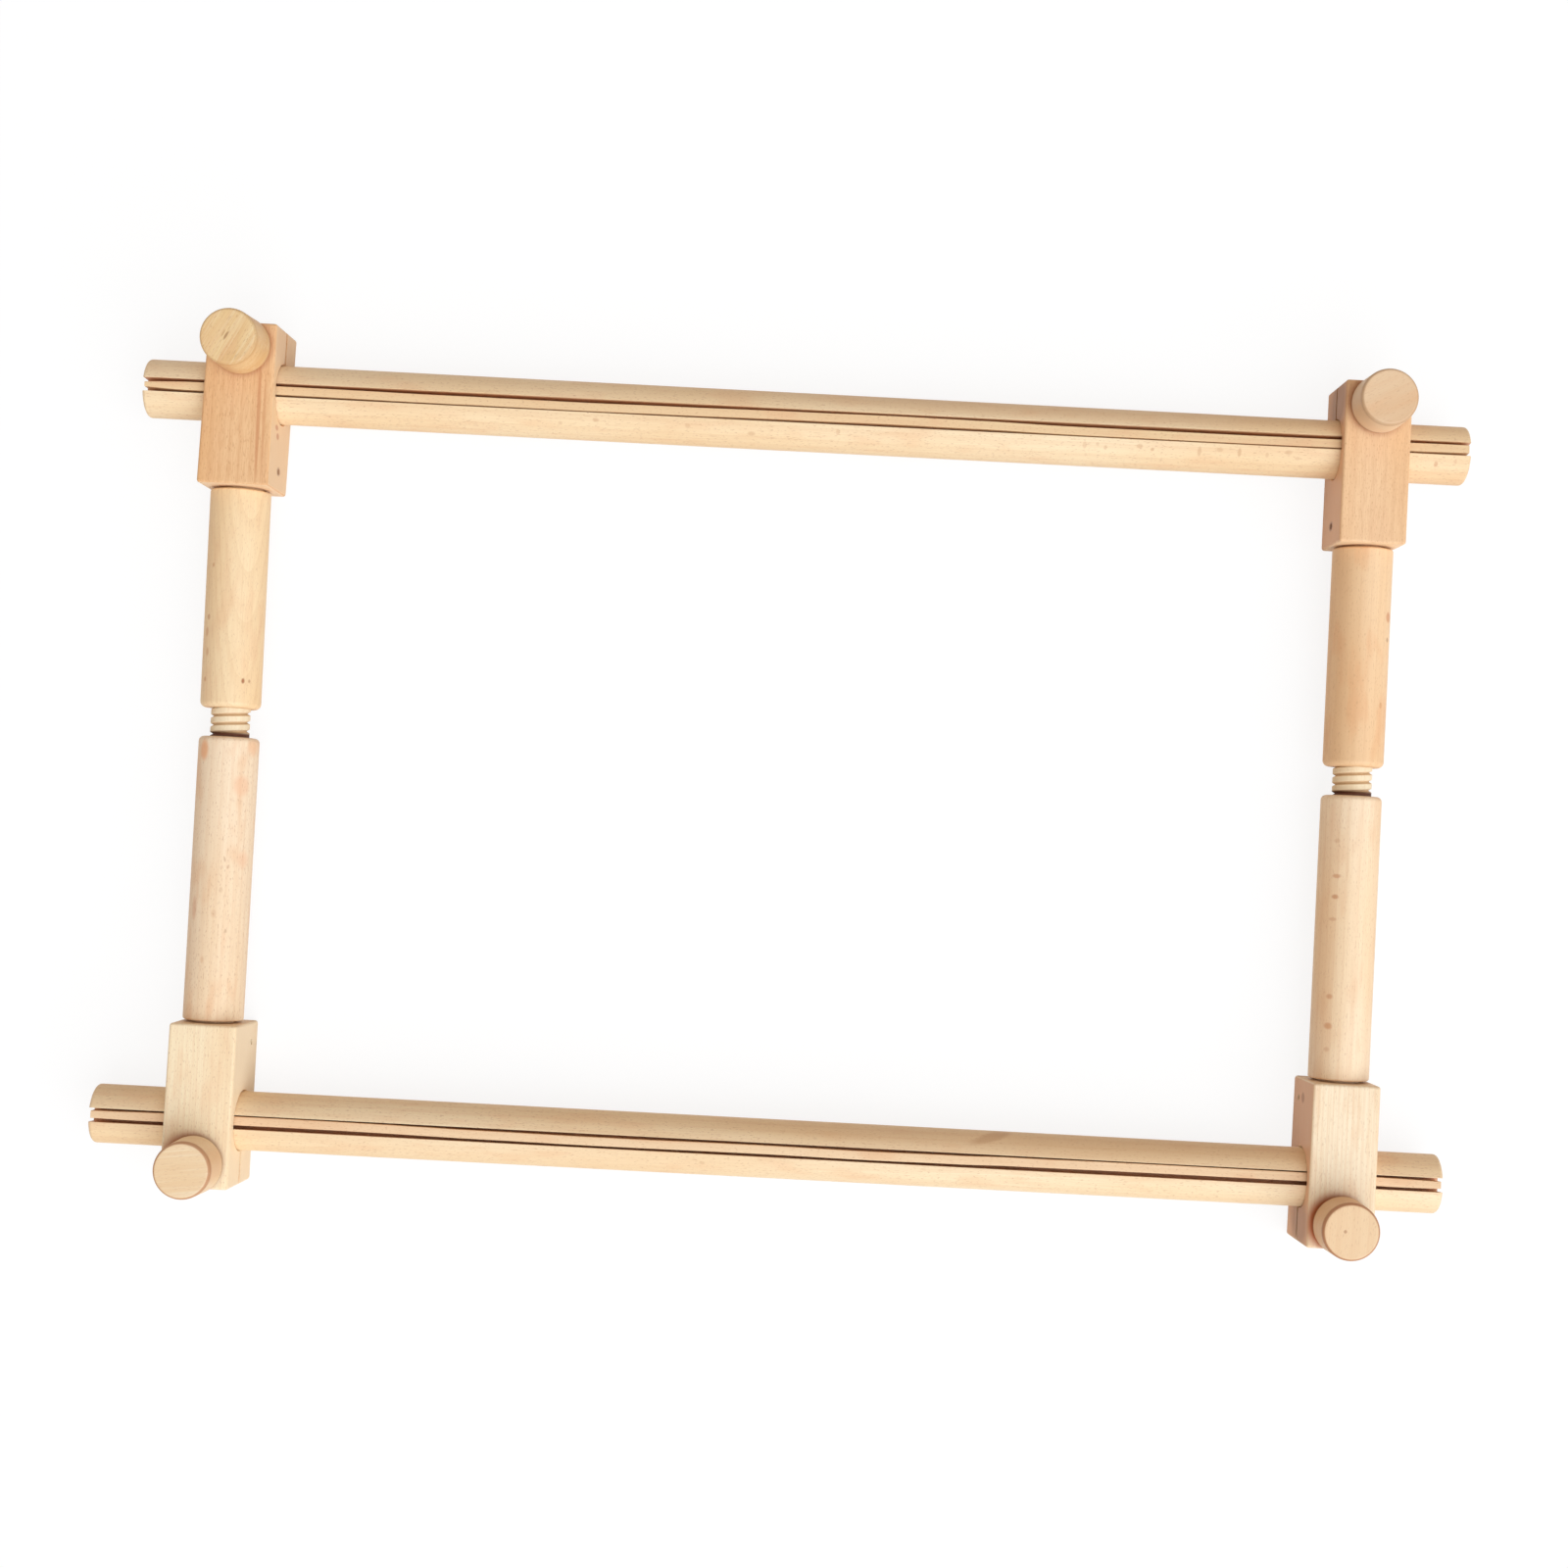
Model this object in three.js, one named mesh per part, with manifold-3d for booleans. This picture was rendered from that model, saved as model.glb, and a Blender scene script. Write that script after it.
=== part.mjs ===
import * as THREE from 'three';
import { mergeVertices } from 'three/addons/utils/BufferGeometryUtils.js';
import Module from 'manifold-3d';

const wasm = await Module();
wasm.setup();

// A beech scroll frame for embroidery: two slotted rollers, four clamp blocks and
// two side bars whose sleeves screw apart to stretch the cloth.
// Millimetres. X runs along the rollers, Y across the frame, Z up from its back.
// The origin is the middle of the footprint, on the plane of the blocks' backs.

// Whole frame
const rollerSpacing = 330;
const seatGap = 0.3;
const runningGap = 0.3;
const cutOverrun = 5;

// Rollers
const rollerLength = 600;
const rollerOverhang = 45;
const rollerDiameter = 26.5;
const rollerEdge = 1.6;
const slotWidth = 6;
const slotDepth = 10;
const slotTurnDegrees = { upper: -3, lower: -4 };

// Battens that wedge the cloth into the slots
const battenEndGap = 1;
const battenThickness = 4.2;
const battenInset = 0.9;
const battenEdge = 0.5;
const battenLean = 0.3;

// Corner blocks
const blockWidth = 30;
const blockDepth = 36;
const blockInnerReach = 44;
const blockOuterReach = 29;
const blockEdge = 1;
const clampSlit = 2;

// Clamp screws, nuts and washers
const screwOffset = 18;
const screwDiameter = 6;
const screwTip = 0.6;
const screwInKnob = 11.7;
const nutAcrossFlats = 10;
const nutHeight = 5;
const nutRecess = 1.5;
const nutEdge = 0.5;
const washerDiameter = 14;
const washerThickness = 1;

// Clamp knobs
const knobDiameter = 26;
const knobHeight = 18;
const knobRim = 1.6;
const knobFoot = 0.7;

// Side bar sleeves
const sleeveDiameter = 27;
const upperSleeveLength = 100;
const sleeveMouthEdge = 2.4;
const sleeveFootEdge = 0.8;
const boreEdge = 0.8;
const tenonDiameter = 18;
const tenonLength = 24;
const tenonEdge = 1;

// Threaded rods between the sleeves
const threadDiameter = 17.5;
const threadPitch = 4;
const threadDepth = 1.3;
const threadShown = 13;
const threadRunIn = 3;
const rodInUpperSleeve = 50;
const rodInLowerSleeve = 45;
const rodEdge = 1.2;
const boreSpare = 4;

// Pins through the blocks that hold the tenons
const pinDiameter = 1.6;
const pinSetback = 9;
const pinLength = 22;
const pinGrooveDepth = 2.2;

// Faceting
const roundSides = 36;
const knobSides = 32;
const boltSides = 16;
const threadSides = 18;
const threadProfileShares = [
  { along: 0, depth: 0 },
  { along: 0.5, depth: 0 },
  { along: 0.75, depth: 1 },
];

// Sizes that follow
const rollerRadius = rollerDiameter / 2;
const sleeveRadius = sleeveDiameter / 2;
const tenonRadius = tenonDiameter / 2;
const threadRadius = threadDiameter / 2;
const screwRadius = screwDiameter / 2;
const knobRadius = knobDiameter / 2;
const pinRadius = pinDiameter / 2;
const axisHeight = blockDepth / 2;
const boreRadius = threadRadius + runningGap;
const barSpacing = rollerLength - 2 * rollerOverhang;
const barLength = rollerSpacing - 2 * blockInnerReach;
const battenLength = rollerLength - 2 * battenEndGap;
const lowerSleeveLength = barLength - upperSleeveLength - threadShown;
const upperBoreDepth = rodInUpperSleeve + threadShown + boreSpare;
const lowerBoreDepth = rodInLowerSleeve + seatGap;
const knobSeat = blockDepth + seatGap + washerThickness + seatGap;
const swivelPinOffset = tenonRadius - pinGrooveDepth + runningGap + pinRadius;

// Finishes
const finishes = {
  roller: { color: 0xf3d3a4, roughness: 0.5, metalness: 0 },
  batten: { color: 0xeccb98, roughness: 0.6, metalness: 0 },
  block: { color: 0xebb985, roughness: 0.5, metalness: 0 },
  knob: { color: 0xe6c493, roughness: 0.45, metalness: 0 },
  sleeve: { color: 0xf1cf9f, roughness: 0.5, metalness: 0 },
  rod: { color: 0xd9ae74, roughness: 0.6, metalness: 0 },
  steel: { color: 0xb9babd, roughness: 0.35, metalness: 1 },
};

function finish(name) {
  return new THREE.MeshStandardMaterial(finishes[name]);
}

// Turns a closed geometry into a solid that can be cut and joined
function solidOf(geometry) {
  const bare = geometry.clone();
  bare.deleteAttribute('normal');
  bare.deleteAttribute('uv');
  const merged = mergeVertices(bare);
  const corners = merged.index.array;
  const kept = [];
  for (let i = 0; i < corners.length; i += 3) {
    const [a, b, c] = corners.slice(i, i + 3);
    if (a !== b && b !== c && c !== a) kept.push(a, b, c);
  }
  const mesh = new wasm.Mesh({
    numProp: 3,
    vertProperties: new Float32Array(merged.attributes.position.array),
    triVerts: new Uint32Array(kept),
  });
  return new wasm.Manifold(mesh);
}

function geometryOf(solid) {
  const mesh = solid.getMesh();
  const geometry = new THREE.BufferGeometry();
  geometry.setAttribute('position', new THREE.BufferAttribute(mesh.vertProperties, mesh.numProp));
  geometry.setIndex(new THREE.BufferAttribute(mesh.triVerts, 1));
  geometry.computeVertexNormals();
  return geometry;
}

function named(name, geometry, finishName) {
  const mesh = new THREE.Mesh(geometry, finish(finishName));
  mesh.name = name;
  return mesh;
}

// Turned shape about the Y axis, from its outline of radius and height pairs
function turned(outline, sides) {
  const points = outline.map(([radius, height]) => new THREE.Vector2(radius, height));
  return new THREE.LatheGeometry(points, sides);
}

function rodAlongX(radius, length, sides) {
  return new THREE.CylinderGeometry(radius, radius, length, sides).rotateZ(Math.PI / 2);
}

function rodAlongY(radius, length, sides) {
  return new THREE.CylinderGeometry(radius, radius, length, sides);
}

function rodAlongZ(radius, length, sides) {
  return new THREE.CylinderGeometry(radius, radius, length, sides).rotateX(Math.PI / 2);
}

// Box standing on z = 0 from y = back to y = front, with every edge taken off
function softBlock(width, back, front, depth, edge) {
  const side = width / 2;
  const outline = new THREE.Shape();
  outline.moveTo(-side + edge, back);
  outline.lineTo(side - edge, back);
  outline.lineTo(side, back + edge);
  outline.lineTo(side, front - edge);
  outline.lineTo(side - edge, front);
  outline.lineTo(-side + edge, front);
  outline.lineTo(-side, front - edge);
  outline.lineTo(-side, back + edge);
  outline.closePath();
  const bevel = { bevelSize: edge, bevelThickness: edge, bevelOffset: -edge, bevelSegments: 1 };
  const geometry = new THREE.ExtrudeGeometry(outline, { depth: depth - 2 * edge, ...bevel });
  return geometry.translate(0, 0, edge);
}

// Roller along X through the origin, with its slot opening toward +Z
function rollerGeometry() {
  const half = rollerLength / 2;
  const outline = [
    [0, -half],
    [rollerRadius - rollerEdge, -half],
    [rollerRadius, -half + rollerEdge],
    [rollerRadius, half - rollerEdge],
    [rollerRadius - rollerEdge, half],
    [0, half],
  ];
  const blank = turned(outline, roundSides).rotateZ(-Math.PI / 2);
  const slotHeight = slotDepth + cutOverrun;
  const slot = new THREE.BoxGeometry(rollerLength + 2 * cutOverrun, slotWidth, slotHeight);
  slot.translate(0, 0, rollerRadius - slotDepth + slotHeight / 2);
  return geometryOf(solidOf(blank).subtract(solidOf(slot)));
}

// Batten lying in the slot, leaning toward the middle of the frame as the cloth pulls it
function battenGeometry(end) {
  const floor = rollerRadius - slotDepth + seatGap;
  const height = slotDepth - seatGap - battenInset;
  const side = battenThickness / 2;
  const outline = new THREE.Shape();
  outline.moveTo(-side, 0);
  outline.lineTo(side, 0);
  outline.lineTo(side, height - battenEdge);
  outline.lineTo(side - battenEdge, height);
  outline.lineTo(-side + battenEdge, height);
  outline.lineTo(-side, height - battenEdge);
  outline.closePath();
  const strip = new THREE.ExtrudeGeometry(outline, { depth: battenLength, bevelEnabled: false });
  strip.translate(0, floor, -battenLength / 2);
  strip.rotateX(Math.PI / 2);
  strip.rotateZ(Math.PI / 2);
  return strip.translate(0, -end * battenLean, 0);
}

// Corner block: the roller bore lies on the local X axis, the side bar leaves along +Y
function blockGeometry(pinSide, pinHeight) {
  let block = solidOf(softBlock(blockWidth, -blockOuterReach, blockInnerReach, blockDepth, blockEdge));
  const through = blockWidth + 2 * cutOverrun;

  const bore = rodAlongX(rollerRadius + runningGap, through, roundSides);
  bore.translate(0, 0, axisHeight);
  block = block.subtract(solidOf(bore));

  const slitLength = blockOuterReach + cutOverrun;
  const slit = new THREE.BoxGeometry(through, slitLength, clampSlit);
  slit.translate(0, -slitLength / 2, axisHeight);
  block = block.subtract(solidOf(slit));

  const screwHole = rodAlongZ(screwRadius + runningGap, blockDepth + 2 * cutOverrun, boltSides);
  screwHole.translate(0, -screwOffset, axisHeight);
  block = block.subtract(solidOf(screwHole));

  const pocketTop = nutRecess + nutHeight + seatGap;
  const pocketHeight = pocketTop + cutOverrun;
  const pocket = hexPrism(nutAcrossFlats + 2 * seatGap, pocketHeight);
  pocket.translate(0, -screwOffset, pocketTop - pocketHeight / 2);
  block = block.subtract(solidOf(pocket));

  const socketDepth = tenonLength + seatGap;
  const socketLength = socketDepth + cutOverrun;
  const socket = rodAlongY(tenonRadius + runningGap, socketLength, roundSides);
  socket.translate(0, blockInnerReach - socketDepth + socketLength / 2, axisHeight);
  block = block.subtract(solidOf(socket));

  const holeLength = pinLength + seatGap + cutOverrun;
  const pinHole = rodAlongX(pinRadius + seatGap, holeLength, boltSides);
  const holeCentre = blockWidth / 2 + cutOverrun - holeLength / 2;
  pinHole.translate(pinSide * holeCentre, blockInnerReach - pinSetback, pinHeight);
  return geometryOf(block.subtract(solidOf(pinHole)));
}

function hexPrism(acrossFlats, height) {
  const cornerRadius = acrossFlats / Math.sqrt(3);
  return new THREE.CylinderGeometry(cornerRadius, cornerRadius, height, 6).rotateX(Math.PI / 2);
}

// Nut standing on z = 0, its corners turned off at both faces
function nutGeometry() {
  const cornerRadius = nutAcrossFlats / Math.sqrt(3);
  const outline = [
    [0, 0],
    [cornerRadius - nutEdge, 0],
    [cornerRadius, nutEdge],
    [cornerRadius, nutHeight - nutEdge],
    [cornerRadius - nutEdge, nutHeight],
    [0, nutHeight],
  ];
  const turnedBlank = turned(outline, boltSides * 2).rotateX(Math.PI / 2);
  const hex = hexPrism(nutAcrossFlats, nutHeight + 2 * cutOverrun);
  hex.translate(0, 0, nutHeight / 2);
  const hole = rodAlongZ(screwRadius + runningGap, nutHeight + 2 * cutOverrun, boltSides);
  hole.translate(0, 0, nutHeight / 2);
  return geometryOf(solidOf(turnedBlank).intersect(solidOf(hex)).subtract(solidOf(hole)));
}

// Washer on the axis, from z = 0 up
function washerGeometry() {
  const hole = screwRadius + runningGap;
  const rim = washerDiameter / 2;
  const outline = [
    [hole, 0],
    [rim, 0],
    [rim, washerThickness],
    [hole, washerThickness],
    [hole, 0],
  ];
  return turned(outline, boltSides).rotateX(Math.PI / 2);
}

// Headless clamp screw, from z = 0 up into the knob
function screwGeometry(length) {
  const outline = [
    [0, 0],
    [screwRadius - screwTip, 0],
    [screwRadius, screwTip],
    [screwRadius, length - screwTip],
    [screwRadius - screwTip, length],
    [0, length],
  ];
  return turned(outline, boltSides).rotateX(Math.PI / 2);
}

// Turned knob with its flat face up, bored from below for the screw
function knobGeometry() {
  const hole = screwRadius + seatGap;
  const holeDepth = screwInKnob + seatGap;
  const rimMiddle = knobRim / 3;
  const outline = [
    [0, holeDepth],
    [hole, holeDepth],
    [hole, 0],
    [knobRadius - knobFoot, 0],
    [knobRadius, knobFoot],
    [knobRadius, knobHeight - knobRim],
    [knobRadius - rimMiddle, knobHeight - rimMiddle],
    [knobRadius - knobRim, knobHeight],
    [0, knobHeight],
  ];
  return turned(outline, knobSides).rotateX(Math.PI / 2);
}

// Sleeve along +Y from its tenon to its bored mouth, shoulder at y = 0
function sleeveGeometry(length, boreDepth, swivels) {
  const tenon = [
    [0, -tenonLength],
    [tenonRadius - tenonEdge, -tenonLength],
    [tenonRadius, -tenonLength + tenonEdge],
  ];
  const grooveFloor = tenonRadius - pinGrooveDepth;
  const grooveHalf = pinRadius + runningGap;
  const groove = [
    [tenonRadius, -pinSetback - grooveHalf],
    [grooveFloor, -pinSetback - grooveHalf],
    [grooveFloor, -pinSetback + grooveHalf],
    [tenonRadius, -pinSetback + grooveHalf],
  ];
  const body = [
    [tenonRadius, 0],
    [sleeveRadius - sleeveFootEdge, 0],
    [sleeveRadius, sleeveFootEdge],
    [sleeveRadius, length - sleeveMouthEdge],
    [sleeveRadius - sleeveMouthEdge, length],
    [boreRadius + boreEdge, length],
    [boreRadius, length - boreEdge],
    [boreRadius, length - boreDepth],
    [0, length - boreDepth],
  ];
  const outline = swivels ? [...tenon, ...groove, ...body] : [...tenon, ...body];
  const sleeve = turned(outline, roundSides);
  if (swivels) return sleeve;
  const pinHole = rodAlongX(pinRadius + seatGap, sleeveDiameter, boltSides);
  pinHole.translate(0, -pinSetback, 0);
  return geometryOf(solidOf(sleeve).subtract(solidOf(pinHole)));
}

// Right-handed screw thread about the Y axis, from y = 0 up, with uneven ends
function threadSolid(length) {
  const steps = threadProfileShares.length;
  const turns = Math.ceil(length / threadPitch);
  const rows = turns * steps;
  const positions = [];
  const starts = [];
  for (let i = 0; i < threadSides; i++) {
    starts.push(positions.length / 3);
    const share = i / threadSides;
    const angle = share * 2 * Math.PI;
    const lastRow = i === 0 ? rows + steps : rows;
    for (let j = 0; j <= lastRow; j++) {
      const point = threadProfileShares[j % steps];
      const radius = threadRadius - point.depth * threadDepth;
      const height = (Math.floor(j / steps) + point.along + share) * threadPitch;
      positions.push(radius * Math.sin(angle), height, radius * Math.cos(angle));
    }
  }
  const at = (i, j) => (i === threadSides ? starts[0] + j + steps : starts[i] + j);
  const bottom = positions.length / 3;
  positions.push(0, 0, 0);
  const top = positions.length / 3;
  positions.push(0, (turns + 1) * threadPitch, 0);
  const faces = [];
  for (let i = 0; i < threadSides; i++) {
    for (let j = 0; j < rows; j++) {
      faces.push(at(i, j), at(i + 1, j), at(i + 1, j + 1));
      faces.push(at(i, j), at(i + 1, j + 1), at(i, j + 1));
    }
    faces.push(bottom, at(i + 1, 0), at(i, 0));
    faces.push(top, at(i, rows), at(i + 1, rows));
  }
  for (let j = 0; j < steps; j++) {
    faces.push(bottom, at(0, j), at(0, j + 1));
    faces.push(top, at(0, rows + j + 1), at(0, rows + j));
  }
  const mesh = new wasm.Mesh({
    numProp: 3,
    vertProperties: new Float32Array(positions),
    triVerts: new Uint32Array(faces),
  });
  return new wasm.Manifold(mesh);
}

// Rod along +Y: a plain shank that is glued into the lower sleeve, then the thread
function threadedRodGeometry() {
  const shankLength = rodInLowerSleeve - threadRunIn;
  const fullLength = rodInLowerSleeve + threadShown + rodInUpperSleeve;
  const shankOutline = [
    [0, 0],
    [threadRadius - rodEdge, 0],
    [threadRadius, rodEdge],
    [threadRadius, shankLength],
    [0, shankLength],
  ];
  const shank = solidOf(turned(shankOutline, roundSides));
  const clear = threadRadius + cutOverrun;
  const trimOutline = [
    [0, shankLength - threadPitch],
    [clear, shankLength - threadPitch],
    [clear, fullLength - rodEdge - cutOverrun],
    [threadRadius - rodEdge, fullLength],
    [0, fullLength],
  ];
  const trim = solidOf(turned(trimOutline, roundSides));
  const threadStart = shankLength - 3 * threadPitch;
  const thread = threadSolid(fullLength - threadStart);
  const placed = thread.translate([0, threadStart, 0]);
  return geometryOf(placed.intersect(trim).add(shank));
}

function pinGeometry() {
  return rodAlongX(pinRadius, pinLength, boltSides);
}

// Everything that one corner carries, in the corner's own frame
function cornerGroup(corner) {
  const { name, side, end } = corner;
  const swivels = end < 0;
  const pinSide = side * end;
  const pinHeight = swivels ? axisHeight - swivelPinOffset : axisHeight;
  const group = new THREE.Group();

  group.add(named(`${name}_block`, blockGeometry(pinSide, pinHeight), 'block'));

  const nut = named(`${name}_clamp_nut`, nutGeometry(), 'steel');
  nut.position.set(0, -screwOffset, nutRecess);
  group.add(nut);

  const washer = named(`${name}_washer`, washerGeometry(), 'steel');
  washer.position.set(0, -screwOffset, blockDepth + seatGap);
  group.add(washer);

  const screwLength = knobSeat + screwInKnob - nutRecess;
  const screw = named(`${name}_clamp_screw`, screwGeometry(screwLength), 'steel');
  screw.position.set(0, -screwOffset, nutRecess);
  group.add(screw);

  const knob = named(`${name}_knob`, knobGeometry(), 'knob');
  knob.position.set(0, -screwOffset, knobSeat);
  group.add(knob);

  const pin = named(`${name}_pin`, pinGeometry(), 'steel');
  const pinCentre = pinSide * (blockWidth / 2 - seatGap - pinLength / 2);
  pin.position.set(pinCentre, blockInnerReach - pinSetback, pinHeight);
  group.add(pin);

  const length = swivels ? lowerSleeveLength : upperSleeveLength;
  const boreDepth = swivels ? lowerBoreDepth : upperBoreDepth;
  const sleeve = named(`${name}_sleeve`, sleeveGeometry(length - seatGap, boreDepth, swivels), 'sleeve');
  sleeve.position.set(0, blockInnerReach + seatGap, axisHeight);
  group.add(sleeve);

  if (swivels) {
    const rodName = side < 0 ? 'left_threaded_rod' : 'right_threaded_rod';
    const rod = named(rodName, threadedRodGeometry(), 'rod');
    rod.position.set(0, blockInnerReach + lowerSleeveLength - rodInLowerSleeve, axisHeight);
    group.add(rod);
  }

  group.position.set((side * barSpacing) / 2, (end * rollerSpacing) / 2, 0);
  group.rotation.z = end > 0 ? Math.PI : 0;
  return group;
}

// A roller with its batten, its slot rolled a little off straight up
function rollerGroup(name, end) {
  const group = new THREE.Group();
  group.add(named(`${name}_roller`, rollerGeometry(), 'roller'));
  group.add(named(`${name}_batten`, battenGeometry(end), 'batten'));
  group.position.set(0, (end * rollerSpacing) / 2, axisHeight);
  group.rotation.x = THREE.MathUtils.degToRad(slotTurnDegrees[name]);
  return group;
}

const corners = [
  { name: 'lower_left', side: -1, end: -1 },
  { name: 'lower_right', side: 1, end: -1 },
  { name: 'upper_left', side: -1, end: 1 },
  { name: 'upper_right', side: 1, end: 1 },
];

const frame = new THREE.Group();
frame.add(rollerGroup('upper', 1));
frame.add(rollerGroup('lower', -1));
for (const corner of corners) frame.add(cornerGroup(corner));

export default frame;
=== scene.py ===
import math
import bpy
from mathutils import Euler, Matrix, Vector


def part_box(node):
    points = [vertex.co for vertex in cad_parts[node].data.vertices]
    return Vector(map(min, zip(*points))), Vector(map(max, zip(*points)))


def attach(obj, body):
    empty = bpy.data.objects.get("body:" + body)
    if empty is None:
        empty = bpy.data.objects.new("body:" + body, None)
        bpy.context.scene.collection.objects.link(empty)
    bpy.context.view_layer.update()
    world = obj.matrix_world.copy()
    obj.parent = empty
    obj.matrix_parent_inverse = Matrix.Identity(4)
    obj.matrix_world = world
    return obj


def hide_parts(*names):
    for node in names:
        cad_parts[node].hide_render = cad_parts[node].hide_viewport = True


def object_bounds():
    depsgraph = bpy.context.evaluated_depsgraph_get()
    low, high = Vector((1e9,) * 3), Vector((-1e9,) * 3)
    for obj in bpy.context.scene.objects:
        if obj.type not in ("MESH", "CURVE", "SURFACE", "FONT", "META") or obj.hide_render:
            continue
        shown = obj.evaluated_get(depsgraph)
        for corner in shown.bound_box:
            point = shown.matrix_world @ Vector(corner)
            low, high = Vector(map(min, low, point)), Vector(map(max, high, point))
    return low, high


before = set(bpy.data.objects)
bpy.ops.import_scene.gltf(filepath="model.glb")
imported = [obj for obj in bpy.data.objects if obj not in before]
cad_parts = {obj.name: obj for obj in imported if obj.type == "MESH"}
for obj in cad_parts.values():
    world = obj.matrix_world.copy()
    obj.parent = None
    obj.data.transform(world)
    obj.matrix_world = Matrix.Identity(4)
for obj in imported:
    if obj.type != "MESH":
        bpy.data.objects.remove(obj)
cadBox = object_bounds()
mm = 0.001
overrun = 5 * mm      # how far a cutter stands out past what it cuts
tiny = 0.01 * mm
quarterTurn = math.pi / 2

rollerEnds = {"lower": -1, "upper": 1}
barSides = {"left": -1, "right": 1}
# the four corners: which side and end of the frame, and the name their pieces get
corners = {
    end + "_" + side: {"side": sideSign, "end": endSign, "title": end + side.title()}
    for end, endSign in rollerEnds.items() for side, sideSign in barSides.items()
}


def sizeOf(node):
    low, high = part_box(node)
    return high - low


def middleOf(node):
    low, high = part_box(node)
    return (low + high) / 2


def placeAt(middle, turn=0, axis="Z"):
    return Matrix.Translation(middle) @ Matrix.Rotation(turn, 4, axis)


axisHeight = middleOf("lower_left_block").z
rollerRadius = sizeOf("upper_roller").y / 2


# a corner's own axes: X along the roller, Y up the side bar, origin under the roller's axis
def cornerPlace(name):
    end = name.split("_")[0]
    middle = (middleOf(name + "_block").x, middleOf(end + "_roller").y, 0)
    return placeAt(middle, math.pi if end == "upper" else 0)


cornerOrigin = cornerPlace("lower_left").translation


# work by operator


def clearPick():
    if bpy.context.mode != "OBJECT":
        bpy.ops.object.mode_set(mode="OBJECT")
    bpy.ops.object.select_all(action="DESELECT")


def makeActive(piece):
    clearPick()
    piece.select_set(True)
    bpy.context.view_layer.objects.active = piece


# goes to edit mode with only the edges picked that pass the test
def pickEdges(piece, test):
    makeActive(piece)
    bpy.ops.object.mode_set(mode="EDIT")
    bpy.ops.mesh.select_mode(type="EDGE")
    bpy.ops.mesh.select_all(action="DESELECT")
    bpy.ops.object.mode_set(mode="OBJECT")
    mesh = piece.data
    for edge in mesh.edges:
        edge.select = test(*(mesh.vertices[i].co for i in edge.vertices))
    bpy.ops.object.mode_set(mode="EDIT")


def roundEdges(piece, test, width, segments=2):
    pickEdges(piece, test)
    bpy.ops.mesh.bevel(offset=width, segments=segments)
    doneEditing()


def pickAll(piece):
    makeActive(piece)
    bpy.ops.object.mode_set(mode="EDIT")
    bpy.ops.mesh.select_mode(type="VERT")
    bpy.ops.mesh.select_all(action="SELECT")


def doneEditing():
    bpy.ops.object.mode_set(mode="OBJECT")


# puts a piece's place and turn into its mesh
def settle(piece):
    makeActive(piece)
    bpy.ops.object.transform_apply(location=True, rotation=True, scale=True)
    return piece


def moveBy(piece, matrix):
    piece.matrix_world = matrix @ piece.matrix_world
    return settle(piece)


def copyOf(piece, name, matrix):
    makeActive(piece)
    bpy.ops.object.duplicate(linked=False)
    double = bpy.context.object
    double.name = double.data.name = name
    return moveBy(double, matrix)


def applyModifier(piece, kind, **settings):
    makeActive(piece)
    modifier = piece.modifiers.new(kind.title(), kind)
    for key, value in settings.items():
        setattr(modifier, key, value)
    bpy.ops.object.modifier_apply(modifier=modifier.name)


def carve(piece, cutter, operation="DIFFERENCE"):
    settle(cutter)
    applyModifier(piece, "BOOLEAN", operation=operation, object=cutter, solver="EXACT")
    bpy.data.objects.remove(cutter)


def smooth(piece):
    makeActive(piece)
    bpy.ops.object.shade_smooth_by_angle(angle=math.radians(32))
    applyModifier(piece, "WEIGHTED_NORMAL", keep_sharp=True, weight=90)


# a bar of square section, size and middle in metres
def addBar(name, size, middle):
    clearPick()
    bpy.ops.mesh.primitive_cube_add(size=1, location=middle)
    bar = bpy.context.object
    bar.name = bar.data.name = name
    bar.scale = size
    return settle(bar)


# a plain rod about Z or X, for cutting and for blanks
def addRod(name, radius, length, middle, axis="Z", sides=96):
    turn = (0, quarterTurn, 0) if axis == "X" else (0, 0, 0)
    clearPick()
    bpy.ops.mesh.primitive_cylinder_add(
        vertices=sides, radius=radius, depth=length, location=middle, rotation=turn
    )
    rod = bpy.context.object
    rod.name = rod.data.name = name
    return settle(rod)


# draws an outline of (radius, height) points, one vertex extruded from the next
def drawOutline(name, outline):
    clearPick()
    bpy.ops.mesh.primitive_plane_add(size=mm)
    piece = bpy.context.object
    piece.name = piece.data.name = name
    pickAll(piece)
    bpy.ops.mesh.merge(type="CENTER")
    bpy.ops.transform.translate(value=(outline[0][0], 0, outline[0][1]))
    for before, after in zip(outline, outline[1:]):
        step = (after[0] - before[0], 0, after[1] - before[1])
        bpy.ops.mesh.extrude_vertices_move(TRANSFORM_OT_translate={"value": step})
    return piece


def closeSeams(piece):
    pickAll(piece)
    bpy.ops.mesh.remove_doubles(threshold=0.001 * mm)
    bpy.ops.mesh.normals_make_consistent(inside=False)
    doneEditing()


# turns an outline about the Z axis, as on a lathe
def turnPiece(name, outline, steps=96):
    piece = drawOutline(name, outline)
    pickAll(piece)
    bpy.ops.mesh.spin(steps=steps, angle=2 * math.pi, center=(0, 0, 0), axis=(0, 0, 1))
    closeSeams(piece)
    return piece


# points of a rounded corner, from one angle to another, about a middle of (radius, height)
def roundOff(middle, radius, start, stop, parts):
    angles = [math.radians(start + (stop - start) * i / parts) for i in range(parts + 1)]
    return [(middle[0] + radius * math.cos(a), middle[1] + radius * math.sin(a)) for a in angles]


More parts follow.
